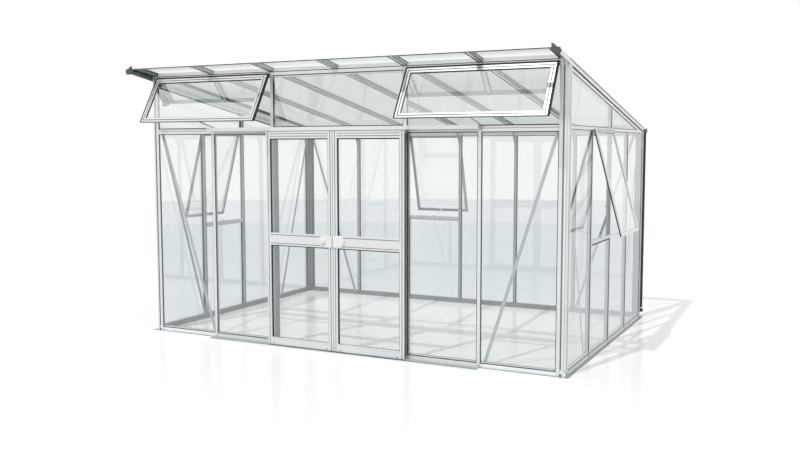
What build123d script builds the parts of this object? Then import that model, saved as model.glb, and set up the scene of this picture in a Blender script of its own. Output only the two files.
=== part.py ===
from build123d import *
import math
import os

os.makedirs("parts", exist_ok=True)

# Glass greenhouse with a single-pitch roof. Lengths in millimetres, angles in degrees.
# +X is to the right as seen from the door side, +Y runs from the door side to the rear, +Z is up.

# Driving sizes: the bars stand at one pitch, the roof rises from the rear eaves
field_pitch = 620
front_fields = 6
side_fields = 4
corner_offset = 57
eaves_height = 1851
roof_pitch = 9.8
vent_angle = 30
window_angle = 15

# Glass and glazing bars
glass_thickness = 4
cap_thickness = 3
cap_width = 27
neck_width = 8
flange_width = 30
flange_thickness = 2.5
web_thickness = 6
bar_depth = 38
post_depth = 60
channel_width = 20
channel_depth = 16
slot_width = 7
slot_lip = 2.5
slot_cavity_width = 14
slot_cavity_depth = 8.5
pane_clearance = 1.5
jamb_outer = 15
jamb_inner = 3

# Base rail
base_height = 48
base_shelf = 36
foot_reach = 30
foot_thickness = 6
base_wall = 3

# Corner posts
ridge_start = 16
ridge_end = 31
groove_depth = 10
post_leg_step = 1
post_inner = 34
post_wall = 2.5

# Horizontal members of the walls, drops measured down from the rear eaves or the transom
transom_drop = 13
transom_height = 51
transom_lip = 10
transom_groove_height = 4
transom_groove_depth = 2
head_face_drop = 32
head_lip = 10
head_leg_drop = 49
side_rail_height = 24
side_rail_lip = 8
side_rail_drop = 12
eaves_beam_height = 61
eaves_lip = 10
sill_height = 36
sill_lip = 10
sill_gap = 15
sill_play = 10

# Roof members, heights measured upright from the rafter seat
rafter_width = 46
rafter_plate = 3
rafter_seat_flange = 21
rafter_flange_thickness = 3
rafter_cap_width = 40
verge_flange_drop = 38
rake_bottom = 75
rake_groove = 60
rake_top = 45
rake_ledge = 22
rake_web = 38
rake_wall = 3
roof_front_reach = 276
roof_rear_reach = 25
filler_setback = 4
filler_depth = 8

# Front rail of the roof and its end caps
front_rail_reach = 290
front_rail_height = 47
front_rail_drop = 8
front_rail_wall = 3
cap_block_nose = 5
cap_overhang = 22
cap_block_width = 71
cap_block_drop = 39
cap_block_rise = 8
cap_block_shoulder = 10
cap_inner_corner = 25
cap_outer_corner = 12
cap_spike_inset = 7
cap_spike_rise = 30
cap_spike_lean = 6
cap_spike_width = 33

# Gutter and downpipe
gutter_width = 80
gutter_drop = 6
gutter_depth = 42
gutter_wall = 2.5
gutter_back_rise = 9
gutter_front_rise = 12
gutter_back_step = 12
gutter_front_step = 64
gutter_lip = 6
gutter_cap_thickness = 14
gutter_cap_rise = 3
pipe_radius = 14
pipe_wall = 2
pipe_inset = 2
pipe_foot = 97
pipe_bend = 42
pipe_mouth = 8

# Sashes
sash_frame = 27
sash_thickness = 20
sash_rebate = 8
sash_pane_set = 8
sash_pane_gap = 1
vent_side_gap = 17.5
vent_lap = 15
vent_hinge_rise = 3
vent_frame = 37
vent_flange = 8
vent_flange_lap = 12
vent_groove_inset = 14
vent_groove_width = 7
vent_groove_depth = 3
window_side_gap = 10
window_length = 860
window_hinge_rise = 4
stay_width = 12
stay_thickness = 12
stay_end = 10
stay_foot = 14

# Wind braces
brace_half_width = 13
brace_thickness = 4
brace_top_inset = 78
brace_foot_gap = 37
brace_top_drop = 23
brace_bottom_height = 30

# Sliding doors and their rails
leaf_lap = 23
leaf_gap = 2.5
leaf_front = 60
leaf_thickness = 32
leaf_clearance = 5
leaf_top_drop = 38
stile_width = 40
top_rail_height = 57
mid_rail_foot = 858
mid_rail_height = 102
bottom_rail_height = 62
leaf_groove = 8
leaf_wall = 3
leaf_channel_depth = 34
leaf_fin_height = 18
leaf_fin_width = 4
stile_line_width = 4
stile_line_depth = 2
stile_line_inset = 18
rail_line_inset = 14
door_rail_overrun = 15
head_rail_drop = 2
head_rail_height = 46
head_rail_overhang = 6
head_rail_wall = 4
head_rail_lip_gap = 6
head_rail_guide_wall = 3
head_rail_guide_gap = 12
fin_clearance = 6
guide_overhang = 35
guide_height = 8
guide_nose = 3
guide_nose_run = 7
bead_width = 4
bead_height = 6
roller_gap = 0.3
roller_tread = 10
roller_flange = 13
roller_tread_half = 2.6
roller_half = 6
axle_radius = 3
roller_inset = 60

# Lock plate and pull plate
plate_height = 94
plate_rise = 53
plate_thickness = 16
lock_reach = 127
pull_reach = 108
plate_gap = 3
knob_radius = 20
knob_height = 18
knob_inset = 44
plate_chamfer = 4

# Derived positions
half_width = front_fields * field_pitch / 2 + corner_offset
wall_depth = side_fields * field_pitch + 2 * corner_offset
slope = math.tan(math.radians(roof_pitch))
sash_lean = math.radians(window_angle)
rear_reach = window_length * math.sin(sash_lean) + sash_thickness * math.cos(sash_lean)
front_reach = front_rail_reach + cap_block_nose
cap_block_depth = front_reach - roof_front_reach
front_y = (front_reach - rear_reach - wall_depth) / 2
back_y = front_y + wall_depth
front_seat_height = eaves_height + slope * wall_depth
glass_back = cap_thickness + glass_thickness
flange_back = glass_back + flange_thickness
cap_start = corner_offset - cap_width / 2
post_leg = corner_offset + post_leg_step
post_flange_end = corner_offset + flange_width / 2
transom_top = eaves_height - transom_drop
transom_bottom = transom_top - transom_height
side_rail_top = transom_top - side_rail_drop
side_rail_bottom = side_rail_top - side_rail_height
eaves_bottom = eaves_height - eaves_beam_height
head_bottom = front_seat_height - head_face_drop
head_leg = front_seat_height - head_leg_drop
inner_half = half_width - post_flange_end
rafter_neck_foot = rafter_seat_flange + rafter_flange_thickness
rafter_cap_foot = rafter_neck_foot + glass_thickness
rafter_top = rafter_cap_foot + cap_thickness
rake_depth = bar_depth + rake_ledge
rake_web_end = bar_depth + rake_web
gutter_top = eaves_height - gutter_drop
gutter_bottom = gutter_top - gutter_depth
gutter_back_foot = gutter_bottom + gutter_back_rise
gutter_front_foot = gutter_bottom + gutter_front_rise
cap_outer = half_width + cap_overhang
cap_inner = cap_outer - cap_block_width
pane_inset = neck_width / 2 + pane_clearance
slope_run = Vector(0, math.cos(math.radians(roof_pitch)), -math.sin(math.radians(roof_pitch)))
front_lines = [(i - front_fields / 2) * field_pitch for i in range(front_fields + 1)]
side_lines = [front_y + corner_offset + i * field_pitch for i in range(side_fields + 1)]
door_lines = (-field_pitch, field_pitch)
front_bar_lines = [place for place in front_lines[1:-1] if abs(place) > field_pitch]

# Each wall: a point on its outer face line, the way along it and the way into the house
walls = {
    "front": (Vector(0, front_y, 0), Vector(1, 0, 0), Vector(0, 1, 0)),
    "back": (Vector(0, back_y, 0), Vector(-1, 0, 0), Vector(0, -1, 0)),
    "left": (Vector(-half_width, 0, 0), Vector(0, -1, 0), Vector(1, 0, 0)),
    "right": (Vector(half_width, 0, 0), Vector(0, 1, 0), Vector(-1, 0, 0)),
}
up = Vector(0, 0, 1)


def seat_height(y):
    return front_seat_height - slope * (y - front_y)


def wall_spot(wall, place):
    line, along, inward = walls[wall]
    axis = Vector(abs(along.X), abs(along.Y), 0)
    return line + axis * place


def level_plane(wall, place, height):
    # Sketch plane that looks down on a wall: x along the wall, y into the house
    return Plane(wall_spot(wall, place) + up * height, x_dir=walls[wall][1], z_dir=up)


def end_plane(wall, place):
    # Upright sketch plane across a wall: x into the house, y up, normal along the wall
    line, along, inward = walls[wall]
    return Plane(wall_spot(wall, place), x_dir=inward, z_dir=inward.cross(up))


def face_plane(wall, depth):
    # Upright sketch plane parallel to a wall: x along the wall, y up, normal outward
    line, along, inward = walls[wall]
    return Plane(line + inward * depth, x_dir=along, z_dir=inward * -1)


def sash_plane(wall, place, height, angle):
    # Sketch plane of a sash that hangs from a hinge line and leans outward by an angle
    line, along, inward = walls[wall]
    lean = math.radians(angle)
    normal = inward * -math.cos(lean) + up * math.sin(lean)
    return Plane(wall_spot(wall, place) + up * height, x_dir=along, z_dir=normal)


def seat_plane(drop):
    # Plane of the rafter seats, lowered by an upright distance
    spot = (0, front_y, front_seat_height - drop)
    lean = math.radians(roof_pitch)
    return Plane(spot, x_dir=(1, 0, 0), z_dir=(0, math.sin(lean), math.cos(lean)))


def roof_plane(y):
    # Upright sketch plane across the roof at one depth: x to the right, y up from the seat
    return Plane((0, y, seat_height(y)), x_dir=(1, 0, 0), z_dir=(0, -1, 0))


def outline(plane, points):
    with BuildSketch(plane) as shape:
        with BuildLine():
            Polyline(*points, close=True)
        make_face()
    return shape.sketch


def hollow(plane, points, *holes):
    with BuildSketch(plane) as shape:
        with BuildLine():
            Polyline(*points, close=True)
        make_face()
        for low, high in holes:
            with Locations(((low[0] + high[0]) / 2, (low[1] + high[1]) / 2)):
                Rectangle(high[0] - low[0], high[1] - low[1], mode=Mode.SUBTRACT)
    return shape.sketch


def mirrored(half):
    return half + [(-x, y) for x, y in reversed(half)]


def bar_section(plane, depth):
    # Glazing bar: outer cap, neck between the panes, inner flange, web and bolt channel
    slot_foot = depth - slot_lip - slot_cavity_depth
    half = [
        (cap_width / 2, 0),
        (cap_width / 2, cap_thickness),
        (neck_width / 2, cap_thickness),
        (neck_width / 2, glass_back),
        (flange_width / 2, glass_back),
        (flange_width / 2, flange_back),
        (web_thickness / 2, flange_back),
        (web_thickness / 2, depth - channel_depth),
        (channel_width / 2, depth - channel_depth),
        (channel_width / 2, depth),
        (slot_width / 2, depth),
        (slot_width / 2, depth - slot_lip),
        (slot_cavity_width / 2, depth - slot_lip),
        (slot_cavity_width / 2, slot_foot),
    ]
    return outline(plane, mirrored(half))


def cap_section(plane):
    half = [(cap_width / 2, 0), (cap_width / 2, cap_thickness)]
    return outline(plane, mirrored(half))


def rafter_points(centre, outer, inner):
    # I-shaped rafter section, from its seat plate to its cap, about a centre line
    half_cap = rafter_cap_width / 2
    half_neck = neck_width / 2
    half_flange = flange_width / 2
    half_web = web_thickness / 2
    right = [
        (inner, 0),
        (inner, rafter_plate),
        (half_web, rafter_plate),
        (half_web, rafter_seat_flange),
        (half_flange, rafter_seat_flange),
        (half_flange, rafter_neck_foot),
        (half_neck, rafter_neck_foot),
        (half_neck, rafter_cap_foot),
        (half_cap, rafter_cap_foot),
        (half_cap, rafter_top),
    ]
    left = [(-x, y) for x, y in reversed(right[2:])]
    left += [(-outer, rafter_plate), (-outer, 0)]
    return [(centre + x, y) for x, y in right + left]


def slope_length(run):
    return run / math.cos(math.radians(roof_pitch))


def run_start(wall, low, high):
    # Where a member that runs between two places of a wall starts, for its sketch plane's normal
    along = walls[wall][1]
    return low if along.X + along.Y > 0 else high


# Base rails, mitred at the corners
base_points = [
    (-foot_reach, 0),
    (bar_depth, 0),
    (bar_depth, base_height),
    (glass_back, base_height),
    (glass_back, base_shelf),
    (cap_thickness, base_shelf),
    (cap_thickness, foot_thickness),
    (-foot_reach, foot_thickness),
]
base_chamber = (
    (cap_thickness + base_wall, base_wall),
    (bar_depth - base_wall, base_shelf - base_wall),
)
diagonals = [
    Plane((half_width, front_y, 0), z_dir=(1, 1, 0)),
    Plane((-half_width, front_y, 0), z_dir=(-1, 1, 0)),
    Plane((half_width, back_y, 0), z_dir=(1, -1, 0)),
    Plane((-half_width, back_y, 0), z_dir=(-1, -1, 0)),
]

with BuildPart() as front_base_rail:
    reach = half_width + foot_reach
    extrude(hollow(end_plane("front", -reach), base_points, base_chamber), amount=2 * reach)
    split(bisect_by=diagonals[0], keep=Keep.BOTTOM)
    split(bisect_by=diagonals[1], keep=Keep.BOTTOM)
front_base_rail.part.label = "front_base_rail"
export_step(front_base_rail.part, "parts/front_base_rail.step")

with BuildPart() as back_base_rail:
    reach = half_width + foot_reach
    extrude(hollow(end_plane("back", reach), base_points, base_chamber), amount=2 * reach)
    split(bisect_by=diagonals[2], keep=Keep.BOTTOM)
    split(bisect_by=diagonals[3], keep=Keep.BOTTOM)
back_base_rail.part.label = "back_base_rail"
export_step(back_base_rail.part, "parts/back_base_rail.step")

with BuildPart() as left_base_rail:
    low = front_y - foot_reach
    high = back_y + foot_reach
    extrude(hollow(end_plane("left", high), base_points, base_chamber), amount=high - low)
    split(bisect_by=diagonals[1], keep=Keep.TOP)
    split(bisect_by=diagonals[3], keep=Keep.TOP)
left_base_rail.part.label = "left_base_rail"
export_step(left_base_rail.part, "parts/left_base_rail.step")

with BuildPart() as right_base_rail:
    low = front_y - foot_reach
    high = back_y + foot_reach
    extrude(hollow(end_plane("right", low), base_points, base_chamber), amount=high - low)
    split(bisect_by=diagonals[0], keep=Keep.TOP)
    split(bisect_by=diagonals[2], keep=Keep.TOP)
right_base_rail.part.label = "right_base_rail"
export_step(right_base_rail.part, "parts/right_base_rail.step")

# Corner posts: two glazing caps, two ridges and grooves round a hollow corner
post_half = [
    (cap_start, 0),
    (cap_start, groove_depth),
    (ridge_end, groove_depth),
    (ridge_end, 0),
    (ridge_start, 0),
]
post_end = [
    (post_flange_end, flange_back),
    (post_flange_end, glass_back),
    (corner_offset + neck_width / 2, glass_back),
    (corner_offset + neck_width / 2, cap_thickness),
    (corner_offset + cap_width / 2, cap_thickness),
    (corner_offset + cap_width / 2, 0),
]
post_outer = [(post_leg, post_inner), (post_leg, flange_back)] + post_end + post_half
post_points = [(post_inner, post_inner)] + post_outer + [(ridge_start, ridge_start)]
post_points += [(y, x) for x, y in reversed(post_outer)]
chamber_low = ridge_start + post_wall
chamber_rim = groove_depth + post_wall
chamber_end = post_leg - post_wall
chamber_inner = post_inner - post_wall
post_chamber = [
    (chamber_low, chamber_rim),
    (chamber_end, chamber_rim),
    (chamber_end, chamber_inner),
    (chamber_inner, chamber_inner),
    (chamber_inner, chamber_end),
    (chamber_rim, chamber_end),
    (chamber_rim, chamber_low),
    (chamber_low, chamber_low),
]
corner_spots = {
    "front_left": ((-half_width, front_y), (1, 0, 0)),
    "front_right": ((half_width, front_y), (0, 1, 0)),
    "back_left": ((-half_width, back_y), (0, -1, 0)),
    "back_right": ((half_width, back_y), (-1, 0, 0)),
}


def corner_plane(corner, height):
    spot, along = corner_spots[corner]
    return Plane((spot[0], spot[1], height), x_dir=along, z_dir=(0, 0, 1))


def post_section(plane):
    with BuildSketch(plane) as shape:
        with BuildLine():
            Polyline(*post_points, close=True)
        make_face()
        with BuildLine():
            Polyline(*post_chamber, close=True)
        make_face(mode=Mode.SUBTRACT)
    return shape.sketch


def post_tail_section(plane):
    # The caps and ridges run down over the face of the base rail
    with BuildSketch(plane) as shape:
        for start, end in ((cap_start, corner_offset + cap_width / 2), (ridge_start, ridge_end)):
            with Locations(((start + end) / 2, cap_thickness / 2)):
                Rectangle(end - start, cap_thickness)
            with Locations((cap_thickness / 2, (start + end) / 2)):
                Rectangle(cap_thickness, end - start)
    return shape.sketch


def verge_notch(side):
    # Room in the post heads for the flange of the roof verge
    low = half_width - cap_thickness
    high = half_width + cap_thickness
    start = front_y - cap_thickness
    return outline(
        roof_plane(start),
        [
            (side * low, -verge_flange_drop),
            (side * high, -verge_flange_drop),
            (side * high, rafter_top),
            (side * low, rafter_top),
        ],
    )


with BuildPart() as front_corner_posts:
    for corner in ("front_left", "front_right"):
        extrude(post_section(corner_plane(corner, base_height)), amount=front_seat_height)
        extrude(
            post_tail_section(corner_plane(corner, foot_thickness)),
            amount=base_height - foot_thickness,
        )
    split(bisect_by=seat_plane(0), keep=Keep.BOTTOM)
    for side in (-1, 1):
        extrude(verge_notch(side), amount=wall_depth * 2, dir=slope_run, mode=Mode.SUBTRACT)
front_corner_posts.part.label = "front_corner_posts"
export_step(front_corner_posts.part, "parts/front_corner_posts.step")

with BuildPart() as back_corner_posts:
    for corner in ("back_left", "back_right"):
        extrude(post_section(corner_plane(corner, base_height)), amount=front_seat_height)
        extrude(
            post_tail_section(corner_plane(corner, foot_thickness)),
            amount=base_height - foot_thickness,
        )
    split(bisect_by=seat_plane(0), keep=Keep.BOTTOM)
    for side in (-1, 1):
        extrude(verge_notch(side), amount=wall_depth * 2, dir=slope_run, mode=Mode.SUBTRACT)
back_corner_posts.part.label = "back_corner_posts"
export_step(back_corner_posts.part, "parts/back_corner_posts.step")

# Upright bars of the walls
with BuildPart() as front_glazing_bars:
    for place in front_bar_lines:
        extrude(
            bar_section(level_plane("front", place, base_height), bar_depth),
            amount=transom_bottom - base_height,
        )
        extrude(
            cap_section(level_plane("front", place, foot_thickness)),
            amount=base_height - foot_thickness,
        )
front_glazing_bars.part.label = "front_glazing_bars"
export_step(front_glazing_bars.part, "parts/front_glazing_bars.step")

with BuildPart() as door_posts:
    for place, side in zip(door_lines, (1, -1)):
        extrude(
            bar_section(level_plane("front", place, base_height), post_depth),
            amount=transom_bottom - base_height,
        )
        jamb = [
            (side * jamb_inner, cap_thickness),
            (side * jamb_outer, cap_thickness),
            (side * jamb_outer, post_depth),
            (side * jamb_inner, post_depth),
        ]
        extrude(
            outline(level_plane("front", place, base_height), jamb),
            amount=transom_bottom - base_height,
        )
        extrude(
            cap_section(level_plane("front", place, foot_thickness)),
            amount=base_height - foot_thickness,
        )
door_posts.part.label = "door_posts"
export_step(door_posts.part, "parts/door_posts.step")

with BuildPart() as upper_front_posts:
    for place in door_lines:
        extrude(
            bar_section(level_plane("front", place, transom_top), bar_depth),
            amount=head_leg - transom_top,
        )
        extrude(
            cap_section(level_plane("front", place, head_leg)),
            amount=head_bottom - head_leg,
        )
upper_front_posts.part.label = "upper_front_posts"
export_step(upper_front_posts.part, "parts/upper_front_posts.step")

with BuildPart() as left_glazing_bars:
    for place in side_lines[1:-1]:
        extrude(
            bar_section(level_plane("left", place, base_height), bar_depth),
            amount=side_rail_bottom - base_height,
        )
        extrude(
            cap_section(level_plane("left", place, foot_thickness)),
            amount=base_height - foot_thickness,
        )
    extrude(
        bar_section(level_plane("left", side_lines[2], side_rail_top), bar_depth),
        amount=front_seat_height - side_rail_top,
    )
    split(bisect_by=seat_plane(rake_bottom), keep=Keep.BOTTOM)
left_glazing_bars.part.label = "left_glazing_bars"
export_step(left_glazing_bars.part, "parts/left_glazing_bars.step")

with BuildPart() as right_glazing_bars:
    for place in side_lines[1:-1]:
        extrude(
            bar_section(level_plane("right", place, base_height), bar_depth),
            amount=side_rail_bottom - base_height,
        )
        extrude(
            cap_section(level_plane("right", place, foot_thickness)),
            amount=base_height - foot_thickness,
        )
    extrude(
        bar_section(level_plane("right", side_lines[2], side_rail_top), bar_depth),
        amount=front_seat_height - side_rail_top,
    )
    split(bisect_by=seat_plane(rake_bottom), keep=Keep.BOTTOM)
right_glazing_bars.part.label = "right_glazing_bars"
export_step(right_glazing_bars.part, "parts/right_glazing_bars.step")

with BuildPart() as back_glazing_bars:
    for place in front_lines[1:-1]:
        extrude(
            bar_section(level_plane("back", place, base_height), bar_depth),
            amount=eaves_bottom - base_height,
        )
        extrude(
            cap_section(level_plane("back", place, foot_thickness)),
            amount=base_height - foot_thickness,
        )
back_glazing_bars.part.label = "back_glazing_bars"
export_step(back_glazing_bars.part, "parts/back_glazing_bars.step")

# Transom over the doors and the front panes
groove_low = transom_top - (transom_height + transom_groove_height) / 2
groove_high = groove_low + transom_groove_height
transom_points = [
    (0, transom_bottom),
    (cap_thickness, transom_bottom),
    (cap_thickness, transom_bottom + transom_lip),
    (glass_back, transom_bottom + transom_lip),
    (glass_back, transom_bottom),
    (bar_depth, transom_bottom),
    (bar_depth, transom_top),
    (glass_back, transom_top),
    (glass_back, transom_top - transom_lip),
    (cap_thickness, transom_top - transom_lip),
    (cap_thickness, transom_top),
    (0, transom_top),
    (0, groove_high),
    (transom_groove_depth, groove_high),
    (transom_groove_depth, groove_low),
    (0, groove_low),
]
transom_chamber = (
    (flange_back, transom_bottom + base_wall),
    (bar_depth - base_wall, transom_top - base_wall),
)
with BuildPart() as front_transom:
    extrude(
        hollow(end_plane("front", -inner_half), transom_points, transom_chamber),
        amount=2 * inner_half,
    )
front_transom.part.label = "front_transom"
export_step(front_transom.part, "parts/front_transom.step")

# Head beam under the front of the roof, its top cut to the roof slope
head_back = front_seat_height - slope * bar_depth
head_points = [
    (0, head_bottom),
    (cap_thickness, head_bottom),
    (cap_thickness, head_bottom + head_lip),
    (glass_back, head_bottom + head_lip),
    (glass_back, head_leg),
    (bar_depth, head_leg),
    (bar_depth, head_back),
    (0, front_seat_height),
]
head_chamber = (
    (flange_back, head_leg + base_wall),
    (bar_depth - base_wall, head_back - base_wall),
)
with BuildPart() as front_head_beam:
    extrude(
        hollow(end_plane("front", -inner_half), head_points, head_chamber),
        amount=2 * inner_half,
    )
front_head_beam.part.label = "front_head_beam"
export_step(front_head_beam.part, "parts/front_head_beam.step")

# Level rails of the side walls
side_low = front_y + post_flange_end
side_high = back_y - post_flange_end
side_rail_points = [
    (0, side_rail_bottom),
    (cap_thickness, side_rail_bottom),
    (cap_thickness, side_rail_bottom + side_rail_lip),
    (glass_back, side_rail_bottom + side_rail_lip),
    (glass_back, side_rail_bottom),
    (bar_depth, side_rail_bottom),
    (bar_depth, side_rail_top),
    (glass_back, side_rail_top),
    (glass_back, side_rail_top - side_rail_lip),
    (cap_thickness, side_rail_top - side_rail_lip),
    (cap_thickness, side_rail_top),
    (0, side_rail_top),
]
side_rail_chamber = (
    (flange_back, side_rail_bottom + base_wall),
    (bar_depth - base_wall, side_rail_top - base_wall),
)
with BuildPart() as side_rails:
    for wall in ("left", "right"):
        start = run_start(wall, side_low, side_high)
        extrude(
            hollow(end_plane(wall, start), side_rail_points, side_rail_chamber),
            amount=side_high - side_low,
        )
side_rails.part.label = "side_rails"
export_step(side_rails.part, "parts/side_rails.step")

# Raking rails of the side walls, which follow the roof between the corner posts
rake_points = [
    (0, -rake_bottom),
    (cap_thickness, -rake_bottom),
    (cap_thickness, -rake_groove),
    (glass_back, -rake_groove),
    (glass_back, -rake_bottom),
    (rake_depth, -rake_bottom),
    (rake_depth, -rake_top),
    (rake_web_end, -rake_top),
    (rake_web_end, 0),
    (bar_depth, 0),
    (bar_depth, -rake_top),
    (0, -rake_top),
]
with BuildPart() as raking_rails:
    for side in (-1, 1):
        placed = [(side * (half_width - x), y) for x, y in rake_points]
        lower = [
            (side * (half_width - flange_back), rake_wall - rake_bottom),
            (side * (half_width - rake_depth + rake_wall), -rake_top - rake_wall),
        ]
        upper = [
            (side * (half_width - bar_depth - rake_wall), rake_wall - rake_top),
            (side * (half_width - rake_web_end + rake_wall), -rake_wall),
        ]
        holes = []
        for low, high in (lower, upper):
            holes.append(((min(low[0], high[0]), low[1]), (max(low[0], high[0]), high[1])))
        extrude(
            hollow(roof_plane(side_low), placed, *holes),
            amount=slope_length(side_high - side_low),
            dir=slope_run,
        )
    split(bisect_by=Plane.XY.offset(side_rail_top), keep=Keep.TOP)
raking_rails.part.label = "raking_rails"
export_step(raking_rails.part, "parts/raking_rails.step")

# Eaves beam of the rear wall, its top cut to the roof slope
eaves_outer = seat_height(back_y)
eaves_inner = seat_height(back_y - bar_depth)
eaves_points = [
    (0, eaves_bottom),
    (cap_thickness, eaves_bottom),
    (cap_thickness, eaves_bottom + eaves_lip),
    (glass_back, eaves_bottom + eaves_lip),
    (glass_back, eaves_bottom),
    (bar_depth, eaves_bottom),
    (bar_depth, eaves_inner),
    (0, eaves_outer),
]
eaves_chamber = (
    (flange_back, eaves_bottom + base_wall),
    (bar_depth - base_wall, eaves_outer - base_wall),
)
with BuildPart() as back_eaves_beam:
    extrude(
        hollow(end_plane("back", inner_half), eaves_points, eaves_chamber),
        amount=2 * inner_half,
    )
back_eaves_beam.part.label = "back_eaves_beam"
export_step(back_eaves_beam.part, "parts/back_eaves_beam.step")

# Rails under the side and rear windows, set below the foot of each shut sash
window_fields = {
    "left": (side_lines[1], side_lines[2]),
    "right": (side_lines[1], side_lines[2]),
    "back": (-field_pitch, 0),
}
window_heads = {
    "left": side_rail_bottom + window_hinge_rise,
    "right": side_rail_bottom + window_hinge_rise,
    "back": eaves_bottom + window_hinge_rise,
}


def sill_top(wall):
    return window_heads[wall] - window_length - sill_play


def sill_section(wall, place):
    top = sill_top(wall)
    foot = top - sill_height
    points = [
        (0, foot),
        (cap_thickness, foot),
        (cap_thickness, foot + sill_lip),
        (glass_back, foot + sill_lip),
        (glass_back, foot),
        (bar_depth, foot),
        (bar_depth, top),
        (0, top),
    ]
    chamber = ((flange_back, foot + base_wall), (bar_depth - base_wall, top - base_wall))
    return hollow(end_plane(wall, place), points, chamber)


with BuildPart() as window_sill_rails:
    for wall, (low, high) in window_fields.items():
        start = run_start(wall, low + sill_gap, high - sill_gap)
        extrude(sill_section(wall, start), amount=high - low - 2 * sill_gap)
window_sill_rails.part.label = "window_sill_rails"
export_step(window_sill_rails.part, "parts/window_sill_rails.step")

# Roof: rafters, verges, front rail and its end caps
roof_low = front_y - roof_front_reach
roof_high = back_y + roof_rear_reach
with BuildPart() as roof_rafters:
    for place in front_lines[1:-1]:
        extrude(
            outline(roof_plane(roof_low), rafter_points(place, rafter_width / 2, rafter_width / 2)),
            amount=slope_length(roof_high - roof_low),
            dir=slope_run,
        )
roof_rafters.part.label = "roof_rafters"
export_step(roof_rafters.part, "parts/roof_rafters.step")

with BuildPart() as roof_verges:
    for side in (-1, 1):
        section = rafter_points(0, corner_offset - cap_thickness, rafter_width / 2)
        centre = side * (half_width - corner_offset)
        extrude(
            outline(roof_plane(roof_low), [(centre - side * x, y) for x, y in section]),
            amount=slope_length(roof_high - roof_low),
            dir=slope_run,
        )
roof_verges.part.label = "roof_verges"
export_step(roof_verges.part, "parts/roof_verges.step")

# Strips along the outer edges of the verges, from the end caps to the rear wall
with BuildPart() as verge_trims:
    for side in (-1, 1):
        strip = [
            (side * (half_width - cap_thickness), -verge_flange_drop),
            (side * half_width, -verge_flange_drop),
            (side * half_width, rafter_plate),
            (side * (half_width - cap_thickness), rafter_plate),
        ]
        extrude(
            outline(roof_plane(roof_low), strip),
            amount=slope_length(wall_depth + roof_front_reach),
            dir=slope_run,
        )
    split(bisect_by=Plane.XY.offset(side_rail_top), keep=Keep.TOP)
verge_trims.part.label = "verge_trims"
export_step(verge_trims.part, "parts/verge_trims.step")

# Front rail: a hollow board across the front ends of the rafters
rail_foot = seat_height(roof_low) - front_rail_drop
rail_top = rail_foot + front_rail_height
rail_points = [
    (-front_rail_reach, rail_foot),
    (-roof_front_reach, rail_foot),
    (-roof_front_reach, rail_top),
    (-front_rail_reach, rail_top),
]
rail_chamber = (
    (front_rail_wall - front_rail_reach, rail_foot + front_rail_wall),
    (-roof_front_reach - front_rail_wall, rail_top - front_rail_wall),
)
with BuildPart() as roof_front_rail:
    extrude(
        hollow(end_plane("front", -cap_inner), rail_points, rail_chamber),
        amount=2 * cap_inner,
    )
roof_front_rail.part.label = "roof_front_rail"
export_step(roof_front_rail.part, "parts/roof_front_rail.step")

# End caps: six-sided blocks in front of the verges, each with a spike beside the front rail
cap_foot = rail_foot - cap_block_drop
cap_head = rail_foot + cap_block_rise
spike_start = cap_inner + cap_spike_inset
cap_points = [
    (cap_inner, rail_foot - cap_block_shoulder),
    (cap_inner + cap_inner_corner, cap_foot),
    (cap_outer - cap_outer_corner, cap_foot),
    (cap_outer, (cap_foot + cap_head) / 2),
    (cap_outer - cap_outer_corner, cap_head),
    (spike_start + cap_spike_width, cap_head),
    (spike_start + cap_spike_lean, rail_foot + cap_spike_rise),
    (spike_start, cap_head),
]
cap_face = Plane((0, roof_low, 0), x_dir=(1, 0, 0), z_dir=(0, -1, 0))
with BuildPart() as roof_end_caps:
    for side in (-1, 1):
        points = [(side * x, z) for x, z in cap_points]
        extrude(outline(cap_face, points), amount=cap_block_depth)
roof_end_caps.part.label = "roof_end_caps"
export_step(roof_end_caps.part, "parts/roof_end_caps.step")

# Strips that close the eaves between the rafters, under the roof panes
with BuildPart() as eaves_fillers:
    for y in (front_y + filler_setback, back_y - filler_setback - filler_depth):
        for i in range(front_fields):
            low = front_lines[i] + rafter_width / 2
            high = front_lines[i + 1] - rafter_width / 2
            strip = [(low, 0), (high, 0), (high, rafter_neck_foot), (low, rafter_neck_foot)]
            extrude(outline(roof_plane(y), strip), amount=filler_depth, dir=slope_run)
eaves_fillers.part.label = "eaves_fillers"
export_step(eaves_fillers.part, "parts/eaves_fillers.step")

with BuildPart() as roof_glass:
    for i in range(front_fields):
        low = front_lines[i] + pane_inset
        high = front_lines[i + 1] - pane_inset
        pane = [
            (low, rafter_neck_foot),
            (high, rafter_neck_foot),
            (high, rafter_cap_foot),
            (low, rafter_cap_foot),
        ]
        extrude(
            outline(roof_plane(roof_low), pane),
            amount=slope_length(roof_high - roof_low),
            dir=slope_run,
        )
roof_glass.part.label = "roof_glass"
export_step(roof_glass.part, "parts/roof_glass.step")

# Gutter behind the rear wall with its end caps and downpipe
gutter_points = [
    (0, gutter_top),
    (0, gutter_back_foot),
    (-gutter_back_step, gutter_bottom),
    (-gutter_front_step, gutter_bottom),
    (-gutter_width, gutter_front_foot),
    (-gutter_width, gutter_top),
    (gutter_lip - gutter_width, gutter_top),
    (gutter_lip - gutter_width, gutter_top - gutter_wall),
    (gutter_wall - gutter_width, gutter_top - gutter_wall),
    (gutter_wall - gutter_width, gutter_front_foot + gutter_wall / 2),
    (gutter_wall / 2 - gutter_front_step, gutter_bottom + gutter_wall),
    (-gutter_back_step - gutter_wall / 2, gutter_bottom + gutter_wall),
    (-gutter_wall, gutter_back_foot + gutter_wall / 2),
    (-gutter_wall, gutter_top),
]
pipe_x = half_width - pipe_inset
pipe_y = back_y + gutter_width / 2
with BuildPart() as rear_gutter:
    extrude(outline(end_plane("back", half_width), gutter_points), amount=2 * half_width)
rear_gutter.part.label = "rear_gutter"
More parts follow.
